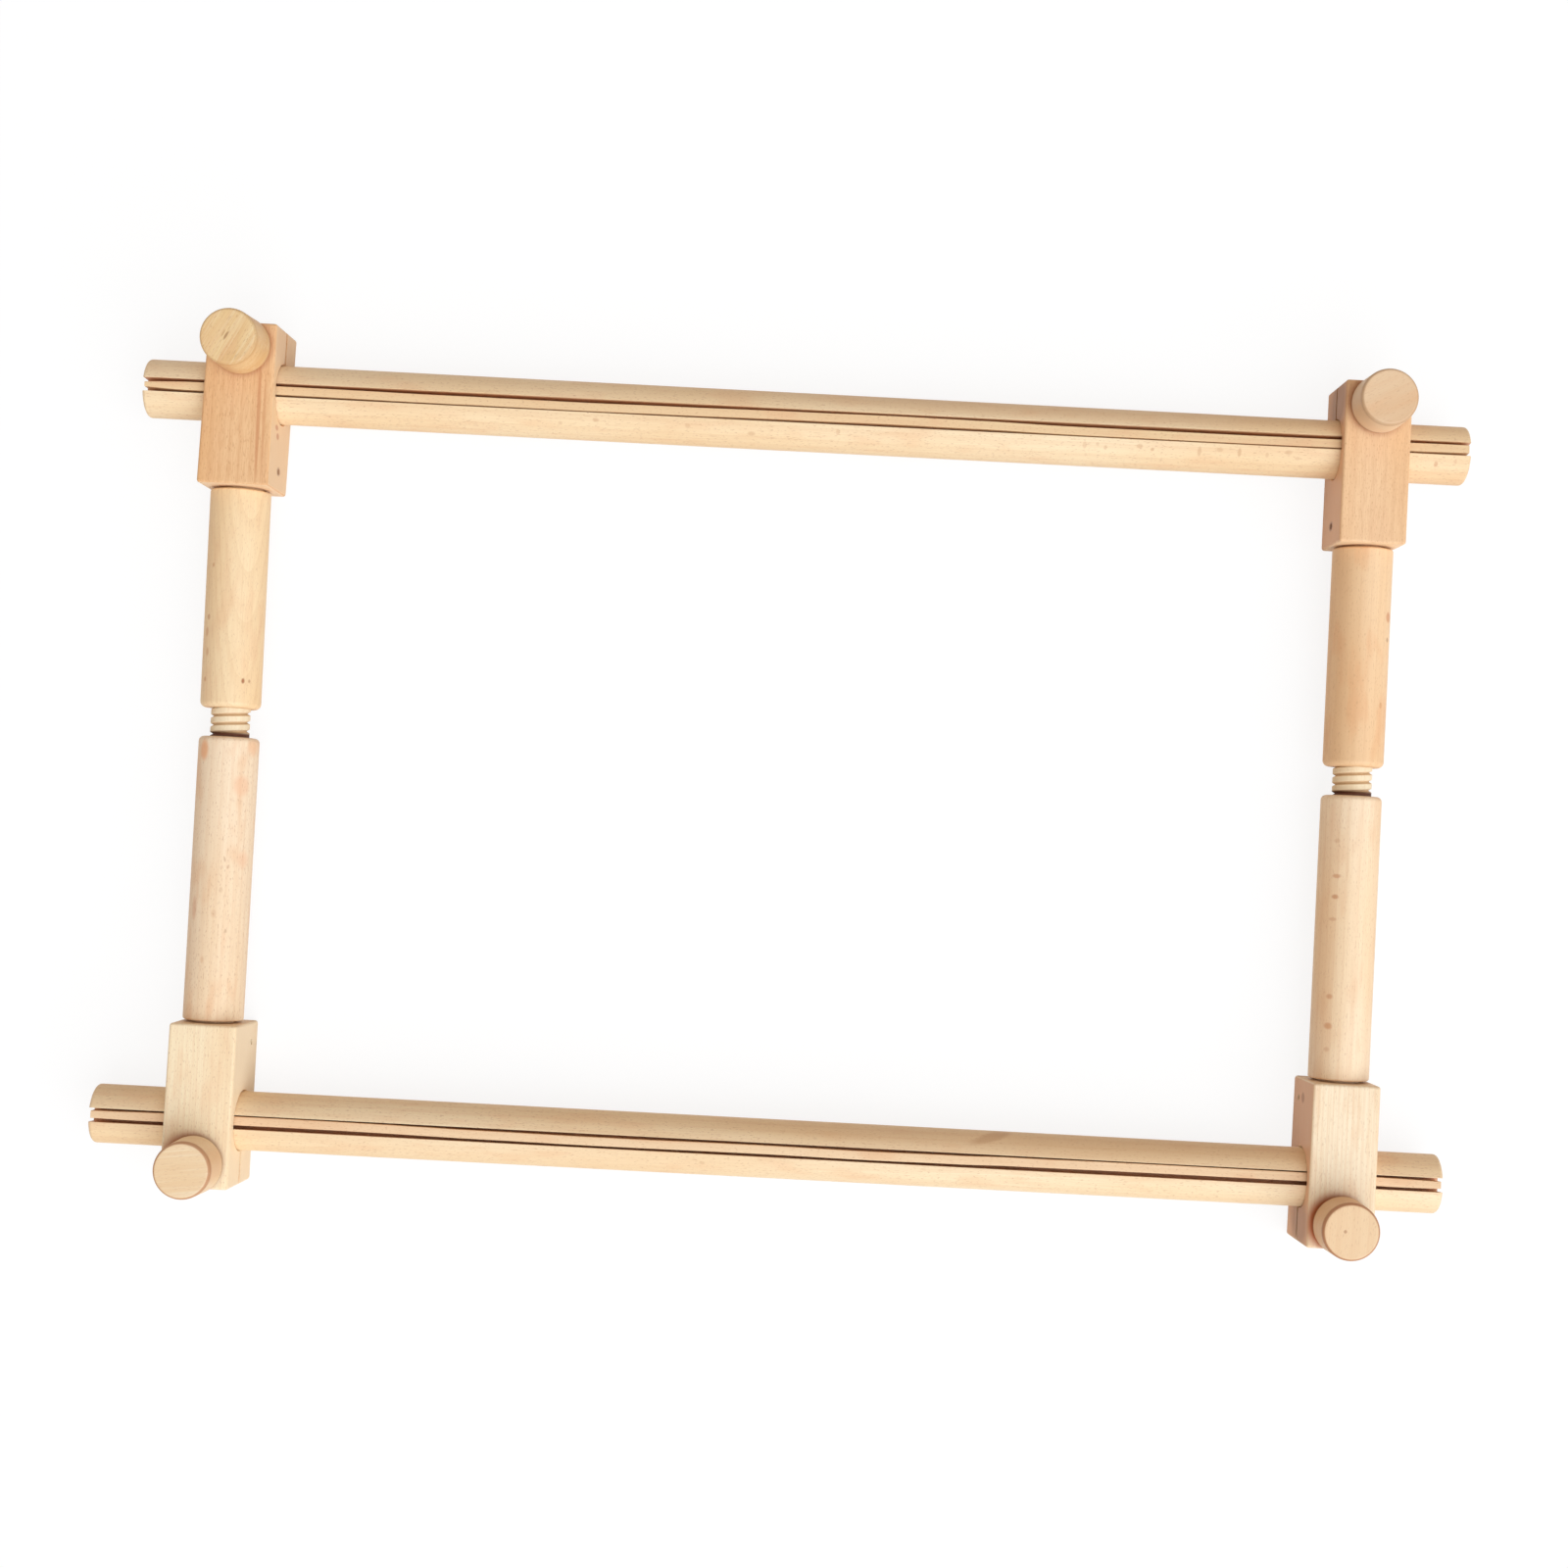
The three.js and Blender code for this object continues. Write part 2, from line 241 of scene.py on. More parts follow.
# a threaded bar about Z from bottom to top: one pitch of its outline is screwed up the axis
def threadPiece(name, ridge, pitch, bottom, top, steps):
    spareTurns = 2      # at each end, to be cut off
    start = bottom - spareTurns * pitch
    piece = drawOutline(name, [(radius, start + height) for radius, height in ridge])
    doneEditing()
    turns = math.ceil((top - bottom) / pitch) + 2 * spareTurns
    applyModifier(
        piece, "SCREW", axis="Z", angle=2 * math.pi, screw_offset=pitch, iterations=turns,
        steps=steps, render_steps=steps, use_merge_vertices=False, use_smooth_shade=False,
    )
    closeSeams(piece)
    for height, keepAbove in ((bottom, True), (top, False)):
        pickAll(piece)
        bpy.ops.mesh.bisect(
            plane_co=(0, 0, height), plane_no=(0, 0, 1), use_fill=True,
            clear_inner=keepAbove, clear_outer=not keepAbove,
        )
        doneEditing()
    closeSeams(piece)
    return piece


def finishPiece(piece, body, node, material):
    piece.data.materials.clear()
    piece.data.materials.append(material)
    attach(piece, body)
    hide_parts(node)


# materials


# an sRGB hex colour as linear light
def colour(code):
    linear = []
    for i in (0, 2, 4):
        share = int(code[i:i + 2], 16) / 255
        linear.append(share / 12.92 if share <= 0.04045 else ((share + 0.055) / 1.055) ** 2.4)
    return (*linear, 1.0)


def addNode(tree, kind, settings=None, links=None):
    node = tree.nodes.new("ShaderNode" + kind)
    for key, value in (settings or {}).items():
        if isinstance(key, int) or key in node.inputs:
            node.inputs[key].default_value = value
        else:
            setattr(node, key, value)
    for key, socket in (links or {}).items():
        tree.links.new(socket, node.inputs[key])
    return node


def newMaterial(name):
    material = bpy.data.materials.new(name)
    material.use_nodes = True
    material.node_tree.nodes.clear()
    return material, material.node_tree


# the settings of a soft step, from nothing at low to its full share at high
def softStep(low, high, share=1.0):
    return {"From Min": low, "From Max": high, "To Max": share, "interpolation_type": "SMOOTHSTEP"}


# lays a tint over a colour where a value steps up
def layTint(tree, base, tint, value, low, high, share=1.0):
    step = addNode(tree, "MapRange", softStep(low, high, share), {"Value": value})
    settings, links = {"data_type": "RGBA", 7: colour(tint)}, {0: step.outputs[0]}
    if isinstance(base, str):
        settings[6] = colour(base)
    else:
        links[6] = base
    return addNode(tree, "Mix", settings, links).outputs[2]


# the shader: its gloss follows a pattern, and its relief a height
def shadeWith(tree, look, base, pattern, height, settings):
    (low, high), (strength, distance) = look["roughness"], look["relief"]
    ramp = {"From Min": 0.3, "From Max": 0.7, "To Min": low, "To Max": high}    # where noise mostly lies
    rough = addNode(tree, "MapRange", ramp, {"Value": pattern})
    bump = addNode(tree, "Bump", {"Strength": strength, "Distance": distance}, {"Height": height})
    shader = addNode(tree, "BsdfPrincipled", settings,
                     {"Base Color": base, "Roughness": rough.outputs[0], "Normal": bump.outputs[0]})
    addNode(tree, "OutputMaterial", links={"Surface": shader.outputs[0]})


# Beech, steamed and finely sanded: a close pale wood whose growth rings barely show, with
# fine fibre streaks and short brown ray flecks along the grain, faint warm clouds, and darker
# where it is cut across. A pattern's stretch is its width as a share of its length, and its
# step the values between which it grows
beechLook = {
    "pale": "F9E2BC", "warm": "F5D7AB", "ring": "E0B184", "streak": "E4BC90",
    "blush": "EDBC90", "fleck": "B8835C", "end": "DCAE80", "flankToneLightShade": None,
    "toneSize": 38 * mm, "toneShare": 1.0, "toneStretch": 0.2, "toneStep": (0.35, 0.65),
    "ringSpacing": 3.4 * mm, "ringShare": 0.16, "ringStretch": 0.06, "ringStep": (0.45, 1.0),
    "ringLean": None, "waver": 3.2, "pith": (26 * mm, 34 * mm), "shiftLength": 310 * mm,
    "blushSize": 9 * mm, "blushShare": 0.3, "blushStretch": 0.35, "blushStep": (0.5, 0.72),
    "streakSize": 1.3 * mm, "streakShare": 0.14, "streakStretch": 0.035, "streakStep": (0.45, 0.75),
    # the fibre is drawn coarser than real fibre, so that it shows
    "fibreSize": 0.5 * mm, "fibreShare": 0.16, "fibreStretch": 0.03, "fibreStep": (0.4, 0.7),
    "fleckSize": 0.4 * mm, "fleckShare": 0.32, "fleckStretch": 0.25, "fleckStep": (0.66, 0.75),
    "detail": {"tone": 2.0, "blush": 2.0, "streak": 2.0, "fibre": 3.0, "fleck": 0.0},
    "faceStep": (0.75, 0.98), "endShare": 0.6, "flankShare": 0.85,
    "wallLightAndShade": (0, None), "barrelStep": (0.6, 0.2), "markStep": (1.0, 0.45),
    "roughness": (0.46, 0.6), "relief": (0.5, 0.04 * mm), "ior": 1.47,
    "shadeBands": (), "hollow": None, "marks": (),
}


# grain is the direction of the fibres in degrees from X, seen from above; shift picks another
# stretch of the plank
def beech(name, middle, grain=0, shift=0, **changes):
    look = {**beechLook, **changes}
    material, tree = newMaterial(name)
    turn = Euler((0, 0, -math.radians(grain)))
    inPlank = Vector((shift * look["shiftLength"], *look["pith"]))
    place = addNode(tree, "TexCoord")
    settings = {"Location": inPlank - turn.to_matrix() @ middle, "Rotation": turn}
    plank = addNode(tree, "Mapping", settings, {"Vector": place.outputs["Object"]}).outputs[0]

    def drawOut(part):
        settings = {"operation": "MULTIPLY", 1: (look[part + "Stretch"], 1, 1)}
        return addNode(tree, "VectorMath", settings, {0: plank}).outputs[0]

    settings = {"wave_type": "RINGS", "rings_direction": "X", "wave_profile": "SAW",
                "Scale": math.pi / 10 / look["ringSpacing"], "Distortion": look["waver"],
                "Detail": 2.0, "Detail Scale": 0.35}
    if look["ringLean"]:    # sawn at an angle to the trunk, so that the rings come out as arcs
        across, down = look["ringLean"]
        lean = {"Rotation": (math.radians(across), math.radians(down), 0)}
        ringPlace = addNode(tree, "Mapping", lean, {"Vector": plank}).outputs[0]
    else:
        ringPlace = drawOut("ring")
    drawn = {"ring": addNode(tree, "TexWave", settings, {"Vector": ringPlace}).outputs[0]}
    for part, detail in look["detail"].items():
        settings = {"Scale": 1 / look[part + "Size"], "Detail": detail, "Roughness": 0.55}
        drawn[part] = addNode(tree, "TexNoise", settings, {"Vector": drawOut(part)}).outputs[0]
    base = look["pale"]
    for part, tint in (("tone", "warm"), ("ring", "ring"), ("blush", "blush"), ("streak", "streak"),
                       ("fibre", "ring"), ("fleck", "fleck")):
        base = layTint(tree, base, look[tint], drawn[part], *look[part + "Step"], look[part + "Share"])

    # of another tone: what is cut across; the faces on the quarter, whose tint on the blocks also paints
    # the light and shade their side faces get; and a knob's turned wall, whose tint paints the light and
    # shade that falls on it
    normal = {"Vector": place.outputs["Normal"]}
    turned = addNode(tree, "Mapping", {"vector_type": "VECTOR", "Rotation": turn}, normal)
    facing = addNode(tree, "SeparateXYZ", links={0: turned.outputs[0]})
    wallLightAndShadeShare, wallLightAndShadeTint = look["wallLightAndShade"]
    for axis, tint, step, share in (
        ("X", look["end"], look["faceStep"], look["endShare"]),
        ("Y", look["flankToneLightShade"], look["faceStep"], look["flankShare"]),
        ("Z", wallLightAndShadeTint, look["barrelStep"], wallLightAndShadeShare),
    ):
        if tint:
            steep = addNode(tree, "Math", {"operation": "ABSOLUTE"}, {0: facing.outputs[axis]})
            base = layTint(tree, base, tint, steep.outputs[0], *step, share)

    # painted shade in bands, fading in and out by height
    for (start, full, fading, gone), share, tint in look["shadeBands"]:
        height = addNode(tree, "SeparateXYZ", links={0: place.outputs["Object"]}).outputs["Z"]
        lower = addNode(tree, "MapRange", softStep(start, full, share), {"Value": height})
        upper = addNode(tree, "MapRange", softStep(gone, fading), {"Value": height})
        both = addNode(tree, "Math", {"operation": "MULTIPLY"},
                       {0: lower.outputs[0], 1: upper.outputs[0]})
        base = addNode(tree, "Mix", {"data_type": "RGBA", 7: colour(tint)},
                       {0: both.outputs[0], 6: base}).outputs[2]

    if look["hollow"]:      # painted shade in a groove: a thread's root, a slot's walls
        (full, gone), share, tint = look["hollow"]
        offset = addNode(tree, "VectorMath", {"operation": "SUBTRACT", 1: middle},
                         {0: place.outputs["Object"]})
        overGrain = (0, 1, 1) if grain == 0 else (1, 0, 1)
        offset = addNode(tree, "VectorMath", {"operation": "MULTIPLY", 1: overGrain},
                         {0: offset.outputs[0]})
        fromAxis = addNode(tree, "VectorMath", {"operation": "LENGTH"}, {0: offset.outputs[0]})
        base = layTint(tree, base, tint, fromAxis.outputs["Value"], gone, full, share)

    # oval stains and flecks, and patches of painted shade: the middle in the frame and the half sizes in
    # mm, how strong, the colour, and for some a turn about Z in degrees
    for spot, halfSizes, share, tint, *spin in look["marks"]:
        settings = {"vector_type": "TEXTURE", "Location": [v * mm for v in spot],
                    "Rotation": (0, 0, math.radians(sum(spin))), "Scale": [v * mm for v in halfSizes]}
        oval = addNode(tree, "Mapping", settings, {"Vector": place.outputs["Object"]})
        away = addNode(tree, "VectorMath", {"operation": "LENGTH"}, {0: oval.outputs[0]})
        base = layTint(tree, base, tint, away.outputs["Value"], *look["markStep"], share)

    flecks = addNode(tree, "MapRange", softStep(*look["fleckStep"], look["fleckShare"]),
                     {"Value": drawn["fleck"]})
    relief = addNode(tree, "Math", {"operation": "SUBTRACT"},
                     {0: drawn["fibre"], 1: flecks.outputs[0]}).outputs[0]
    shadeWith(tree, look, base, drawn["fibre"], relief, {"IOR": look["ior"]})
    return material


# Steel with a bright zinc coat from the bath: pale grey, faintly clouded, a soft gloss
zincLook = {"bright": "C9CACD", "cloud": "A7A9AE", "cloudSize": 1.5 * mm, "cloudStep": (0.35, 0.65),
            "roughness": (0.26, 0.42), "relief": (0.3, 0.02 * mm)}
# A drawn steel brad, dulled by handling to a brown grey with hardly any gloss
bradLook = {"bright": "55443A", "cloud": "382B24", "cloudSize": 0.6 * mm, "cloudStep": (0.35, 0.65),
            "roughness": (0.45, 0.65), "relief": (0.3, 0.02 * mm)}


def steel(name, look):
    material, tree = newMaterial(name)
    place = addNode(tree, "TexCoord").outputs["Object"]
    settings = {"Scale": 1 / look["cloudSize"], "Detail": 3.0}
    clouds = addNode(tree, "TexNoise", settings, {"Vector": place}).outputs[0]
    base = layTint(tree, look["bright"], look["cloud"], clouds, *look["cloudStep"])
    shadeWith(tree, look, base, clouds, clouds, {"Metallic": 1.0})
    return material


zincSteel = steel("zincPlatedSteel", zincLook)
bradSteel = steel("dulledSteelBrad", bradLook)
print("materials ready")


# rollers

rollerShape = {
    "endRounding": 1.7 * mm, "endSegments": 5,
    "slotWidth": 6.3 * mm, "slotDepth": 10 * mm, "lipRounding": 0.5 * mm,
    "slotTurn": {"upper": -3, "lower": -4},     # degrees that each slot is rolled off straight up
    "slotTwist": {"upper": -6, "lower": -2},    # degrees that it winds from the left end to the right
    # the two bars weren't sawn to quite the same length: what each has over at its left and right
    "spare": {"upper": (0.6 * mm, -1.2 * mm), "lower": (5.4 * mm, 1.1 * mm)}, "endReach": 3 * mm,
}
# painted shade browns the slot's walls: the radius where it is full and where it is gone, how strong,
# its colour
rollerWood = {
    "upper": {
        "shift": 0.4, "pith": (9 * mm, 21 * mm),
        "hollow": ((rollerRadius - 3 * mm, rollerRadius - 0.8 * mm), 0.6, "C4662F"),
        "marks": (
            ((283.2, 158.8, 30), (1.2, 1.6, 9), 0.5, "C98F66", -10),
            ((291.8, 160.4, 30), (0.8, 1.5, 9), 0.3, "D29C74", 5),
            # painted shade along the roller's upper flank on its right half
            ((130, 177, 27), (190, 11, 13), 0.4, "DDB080"),
        ),
    },
    "lower": {
        "shift": 2.1, "pith": (-14 * mm, 24 * mm),
        "hollow": ((rollerRadius - 3.2 * mm, rollerRadius - 0.4 * mm), 0.5, "CC6A30"),
        "marks": (
            ((101, -153.2, 26), (16, 2.4, 12), 0.5, "B07C54", 17),
            # painted shade along the roller's upper flank on its right half
            ((120, -153, 27), (180, 11, 13), 0.4, "DDB080"),
        ),
    },
}
# short ray flecks on the lit side, in mm: the middle in X and Y, the half sizes, how strong
rollerFlecks = {
    "height": 29.8, "halfHeight": 5, "tint": "C8966A",
    "upper": (
        (-111.5, 157.1, 1.3, 1, 0.3), (-95.5, 159.1, 2, 1, 0.4), (-54, 158.7, 1.6, 1.4, 0.3),
        (-25.2, 156.8, 2.6, 1.3, 0.4), (13.7, 159.3, 1.1, 1.6, 0.35), (125, 159.3, 1.3, 2, 0.3),
        (130.7, 160, 1, 1, 0.3), (134.4, 158.7, 1, 1.3, 0.35), (149.7, 160, 1.9, 1.3, 0.4),
        (155.5, 158.9, 1.1, 0.9, 0.55), (176.7, 159.1, 1.2, 2.8, 0.4), (185.8, 160.2, 2, 1.2, 0.35),
        (194.7, 159.5, 1.1, 2.6, 0.45), (207.2, 159, 1.1, 1.4, 0.3), (216.7, 160.6, 2.2, 1.3, 0.35),
        (221, 158.2, 1.8, 1, 0.3),
    ),
    "lower": ((-30, -171.5, 1.8, 1, 0.3), (107.7, -165.6, 1.4, 1, 0.35), (126.4, -166, 1.3, 1.2, 0.3)),
}


def rollerPlace(end):
    return placeAt(middleOf(end + "_roller"), math.radians(rollerShape["slotTurn"][end]), "X")


rollerLength = sizeOf("upper_roller").x
rollerBlank = addRod("rollerBlank", rollerRadius, rollerLength, (0, 0, 0), "X")
roundEdges(rollerBlank, lambda a, b: a.x * b.x > 0 and abs(a.x - b.x) < tiny,
           rollerShape["endRounding"], rollerShape["endSegments"])
slotTall = rollerShape["slotDepth"] + overrun
slotMiddle = rollerRadius - rollerShape["slotDepth"] + slotTall / 2
slotSize = (rollerLength + 2 * overrun, rollerShape["slotWidth"], slotTall)
carve(rollerBlank, addBar("slotCutter", slotSize, (0, 0, slotMiddle)))


# the two long edges where the slot meets the round
def isLip(a, b):
    high = min(a.z, b.z) > rollerRadius / 2
    onWall = all(abs(abs(p.y) - rollerShape["slotWidth"] / 2) < tiny for p in (a, b))
    return high and onWall and abs(a.x - b.x) > mm


roundEdges(rollerBlank, isLip, rollerShape["lipRounding"])


# winds a slot, or the strip in it, a little round its roller
def windAlong(piece, end):
    applyModifier(piece, "SIMPLE_DEFORM", deform_method="TWIST", deform_axis="X",
                  angle=math.radians(rollerShape["slotTwist"][end]))


# lengthens or shortens a roller, or its strip, at both ends
def trimEnds(piece, end, length):
    left, right = rollerShape["spare"][end]
    for v in piece.data.vertices:
        if abs(v.co.x) > length / 2 - rollerShape["endReach"]:
            v.co.x += right if v.co.x > 0 else -left


for end in rollerEnds:
    node = end + "_roller"
    roller = copyOf(rollerBlank, end + "Roller", Matrix())
    windAlong(roller, end)
    trimEnds(roller, end, rollerLength)
    smooth(roller)
    moveBy(roller, rollerPlace(end))
    look, spots = dict(rollerWood[end]), rollerFlecks
    for x, y, along, across, share in spots[end]:
        halfSizes = (along, across, spots["halfHeight"])
        look["marks"] += (((x, y, spots["height"]), halfSizes, share, spots["tint"]),)
    wood = beech("turnedBeech" + end.title() + "Roller", middleOf(node), **look)
    finishPiece(roller, node, node, wood)
bpy.data.objects.remove(rollerBlank)
print("rollers done")


# battens

battenShape = {
    "thickness": 3.9 * mm, "edge": 0.4 * mm, "inset": 0.8 * mm, "floorGap": 0.3 * mm,
    "cuts": 240, "waver": 0.3 * mm, "waverLength": 45 * mm,
    # how far the strip lies off the middle of its slot, in mm, at shares of its length
    "lean": {
        "upper": ((-0.5, 0), (-0.4, -0.15), (-0.3, -0.45), (-0.18, -0.6), (-0.1, -0.35), (0, 0),
                  (0.06, 0.2), (0.13, 0), (0.2, -0.45), (0.3, -0.6), (0.42, -0.3), (0.5, 0)),
        "lower": ((-0.5, 0.3), (-0.38, 0.6), (-0.3, 0.5), (-0.22, 0), (-0.12, -0.15), (0, 0.05),
                  (0.08, -0.2), (0.14, 0), (0.18, 0.45), (0.25, 0.6), (0.38, 0.65), (0.5, 0)),
    },
    # share of the thickness left at the left and right ends, and how far in the taper starts
    "taper": {"upper": (0.55, 0.9), "lower": (0.85, 0.8)}, "taperLength": 24 * mm,
}
battenWood = {
    "upper": {"shift": 5.3, "pale": "F6D9AC", "warm": "F1CDA0", "blushShare": 0.5},
    "lower": {"shift": 7.7, "pale": "F8DAB2", "warm": "F4CFA6", "blushShare": 0.5},
}


def battenLean(end, share):
    points = battenShape["lean"][end]
    for (start, first), (stop, second) in zip(points, points[1:]):
        if share <= stop:
            way = 0.5 - 0.5 * math.cos(math.pi * (share - start) / (stop - start))
            return (first + (second - first) * way) * mm


def battenTaper(end, share, length):
    left, right = battenShape["taper"][end]
    fromEnd = (0.5 - abs(share)) * length / battenShape["taperLength"]
    return 1 - (1 - (left if share < 0 else right)) * max(0, 1 - fromEnd) ** 2


def addBatten(end):
    shape = battenShape
    length = sizeOf(end + "_batten").x
    floor = rollerRadius - rollerShape["slotDepth"] + shape["floorGap"]
    top = rollerRadius - shape["inset"]
    strip = addBar(end + "Batten", (length, shape["thickness"], top - floor), (0, 0, (floor + top) / 2))
    roundEdges(strip, lambda a, b: min(a.z, b.z) > top - tiny and abs(a.x - b.x) > mm, shape["edge"])
    pickEdges(strip, lambda a, b: abs(a.x - b.x) > mm)
    bpy.ops.mesh.subdivide(number_cuts=shape["cuts"])
    doneEditing()
    # the strip is sprung into its slot, so that it wanders from one wall to the other
    for v in strip.data.vertices:
        share = max(-0.5, min(0.5, v.co.x / length))
        v.co.y = v.co.y * battenTaper(end, share, length) + battenLean(end, share)
    noise = bpy.data.textures.new(end + "BattenWaver", "CLOUDS")
    noise.noise_scale = shape["waverLength"]
    applyModifier(strip, "DISPLACE", texture=noise, direction="Y", texture_coords="LOCAL",
                  strength=shape["waver"], mid_level=0.5)
    windAlong(strip, end)
    trimEnds(strip, end, length)
    smooth(strip)
    return moveBy(strip, rollerPlace(end))


for end in rollerEnds:
    node = end + "_batten"
    strip = addBatten(end)
    wood = beech("sawnBeech" + end.title() + "Batten", middleOf(node), **battenWood[end])
    finishPiece(strip, node, node, wood)
print("battens done")


# corner blocks

blockShape = {
    "edge": 1.3 * mm, "edgeSegments": 3,
    "boreGap": 0.3 * mm, "boreSoftening": 0.5 * mm,
    "slit": 2 * mm,
    "screwHole": 6.6 * mm,
    "nutFlats": 10.6 * mm, "nutPocket": 6.8 * mm,
    "socket": 18.6 * mm, "socketDepth": 24.3 * mm, "socketSoftening": 0.4 * mm,
    "pinHole": 2.9 * mm, "pinSpare": 0.4 * mm,
}
# the flank tints paint light on side faces turned to the light and shade on those turned away, over the
# quarter-sawn tone; the upper left block's pale end paints light
blockWood = {
    "lower_left": {
        "shift": 1.1, "pale": "FFF0CE", "warm": "FFE7C0", "ring": "EAC398", "streak": "EECA9F",
        "flankToneLightShade": "FFE9C6", "end": "E8C296", "ringSpacing": 2 * mm, "ringShare": 0.2, "waver": 3.4,
        "streakShare": 0.26, "fibreShare": 0.22, "fleckShare": 0.3, "pith": (31 * mm, 12 * mm),
    },
    "lower_right": {
        "shift": 2.7, "pale": "FFEED0", "warm": "FCE5C0", "ring": "ECC69A", "streak": "EFCEA4",
        "flankToneLightShade": "E9B58E", "end": "E8C296", "ringSpacing": 2.2 * mm, "ringShare": 0.26, "waver": 4.2,
        "streakShare": 0.4, "fibreShare": 0.24, "fleckShare": 0.2, "pith": (44 * mm, -9 * mm),
        "marks": (
            ((240, -129.4, 18), (3, 3.2, 3.6), 0.6, "A86E50"),
            # painted shade on the inner side face near the knob's end
            ((240, -184, 22), (8, 16, 19), 0.55, "8A5838"),
        ),
    },
    "upper_left": {
        "shift": 4.2, "pale": "F4CA9A", "warm": "ECBB86", "ring": "D59A66", "streak": "DDA878",
        "flankToneLightShade": "F6D5AC", "end": "FFE6C4", "fleck": "BE8254", "ringShare": 0.22, "waver": 2.4,
        "streakShare": 0.3, "fibreShare": 0.4, "fibreStretch": 0.08, "fleckShare": 0.34,
        "pith": (38 * mm, 17 * mm), "marks": (
            ((-246.1, 150, 36), (1.1, 36, 6), 0.55, "C47848", 0.5),
            ((-243.6, 150, 36), (0.8, 30, 6), 0.3, "C47848", 0.5),
            ((-240, 148.8, 26), (4, 1.7, 3.6), 0.6, "C06C3C"),
            ((-240, 145.2, 23.5), (4, 2.0, 3.2), 0.6, "C06C3C"),
            ((-240, 130, 18), (4, 2.6, 4), 0.6, "96603E"),
            # painted shade on the inner side face near the knob's end
            ((-240, 186, 22), (6, 14, 18), 0.15, "A8683C"),
        ),
    },
    "upper_right": {
        "shift": 6.4, "pale": "F7D0A4", "warm": "F2C594", "ring": "DBA97C", "streak": "E2B388",
        "flankToneLightShade": "E6B48C", "end": "FADEB8", "fleck": "C08456", "waver": 2.2, "streakShare": 0.25,
        "fibreShare": 0.34, "fibreStretch": 0.07, "fleckShare": 0.34, "pith": (-35 * mm, 14 * mm),
        "marks": (
            ((240, 130, 18), (4, 2.8, 4.5), 0.65, "8C5640"),
            # painted shade on the inner side face near the knob's end
            ((240, 186, 22), (7, 17, 19), 0.55, "8A5838"),
        ),
    },
}
# Three blocks aren't quite square. What each has over on its outer side, and at the back of its
# inner side, which slopes to there: first at the knob's end and then at the sleeve's
blockSpare = {
    "upper_left": ((1.0 * mm, 2.3 * mm), (1.3 * mm, 0.3 * mm)),
    "lower_left": ((0.6 * mm, 0.1 * mm), (1.8 * mm, 1.6 * mm)),
    "lower_right": ((0, 0), (1.2 * mm, 0.8 * mm)),
}
# painted shade round each knob's foot on its block, standing in for the knob's contact shadow: how
# strong, and how far, in mm, the mark lies off the knob's middle, toward the side in shadow
knobShadeRing = {
    "halfSizes": (16.2, 16.2, 2), "tint": "C26C3C",
    "lower": (1.7, (-2.2, 0.2)), "upper": (1.3, (-0.3, 0.6)),
}


def addBlock(name):
    shape = blockShape
    low, high = (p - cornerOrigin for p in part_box("lower_left_block"))
    block = addBar(name, high - low, (low + high) / 2)
    pickAll(block)
    bpy.ops.mesh.bevel(offset=shape["edge"], segments=shape["edgeSegments"])
    doneEditing()

    radius, soft = rollerRadius + shape["boreGap"], shape["boreSoftening"]
    wide = radius + soft + overrun
    bore = turnPiece("boreCutter", [
        (0, low.x - overrun), (wide, low.x - overrun), (radius, low.x + soft),
        (radius, high.x - soft), (wide, high.x + overrun), (0, high.x + overrun),
    ])
    bore.matrix_world = placeAt((0, 0, axisHeight), quarterTurn, "Y")
    carve(block, bore)

    slitSize = (high.x - low.x + 2 * overrun, overrun - low.y, shape["slit"])
    carve(block, addBar("slitCutter", slitSize, (0, (low.y - overrun) / 2, axisHeight)))

    screwY = middleOf("lower_left_clamp_screw").y - cornerOrigin.y
    carve(block, addRod("screwHoleCutter", shape["screwHole"] / 2, high.z + 2 * overrun,
                        (0, screwY, axisHeight), sides=48))
    pocketTall = shape["nutPocket"] + overrun
    carve(block, addRod("nutPocketCutter", shape["nutFlats"] / math.sqrt(3), pocketTall,
                        (0, screwY, shape["nutPocket"] - pocketTall / 2), sides=6))

    radius, deep, soft = shape["socket"] / 2, shape["socketDepth"], shape["socketSoftening"]
    socket = turnPiece("socketCutter", [
        (0, -deep), (radius, -deep), (radius, -soft), (radius + soft + overrun, overrun), (0, overrun),
    ])
    socket.matrix_world = placeAt((0, high.y, axisHeight), -quarterTurn, "X")
    carve(block, socket)
    return block


# the hole that the pin was driven into, from the side face that looks into the frame
def drillForPin(block, name):
    side = -corners[name]["side"]
    pin = middleOf(name + "_pin")
    face = middleOf(name + "_block").x + side * sizeOf(name + "_block").x / 2
    depth = sizeOf(name + "_pin").x + 2 * blockShape["pinSpare"] + overrun
    middle = Vector((face + side * (overrun - depth / 2), pin.y, pin.z))
    carve(block, addRod("pinCutter", blockShape["pinHole"] / 2, depth, middle, "X", sides=24))


# gives a block the little that it has over
def spreadBlock(block, name):
    side = corners[name]["side"]
    low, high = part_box(name + "_block")
    middle, half = (low + high) / 2, (high - low) / 2
    nearFace = half.x - 2 * blockShape["edge"]
    for v in block.data.vertices:
        off = v.co - middle
        toSleeve = 0.5 - corners[name]["end"] * off.y / half.y / 2
        outer, back = (first + (last - first) * toSleeve for first, last in blockSpare[name])
        if off.x * side > nearFace:
            v.co.x += side * outer
        elif off.x * side < -nearFace:
            v.co.x -= side * back * (0.5 - off.z / half.z / 2)


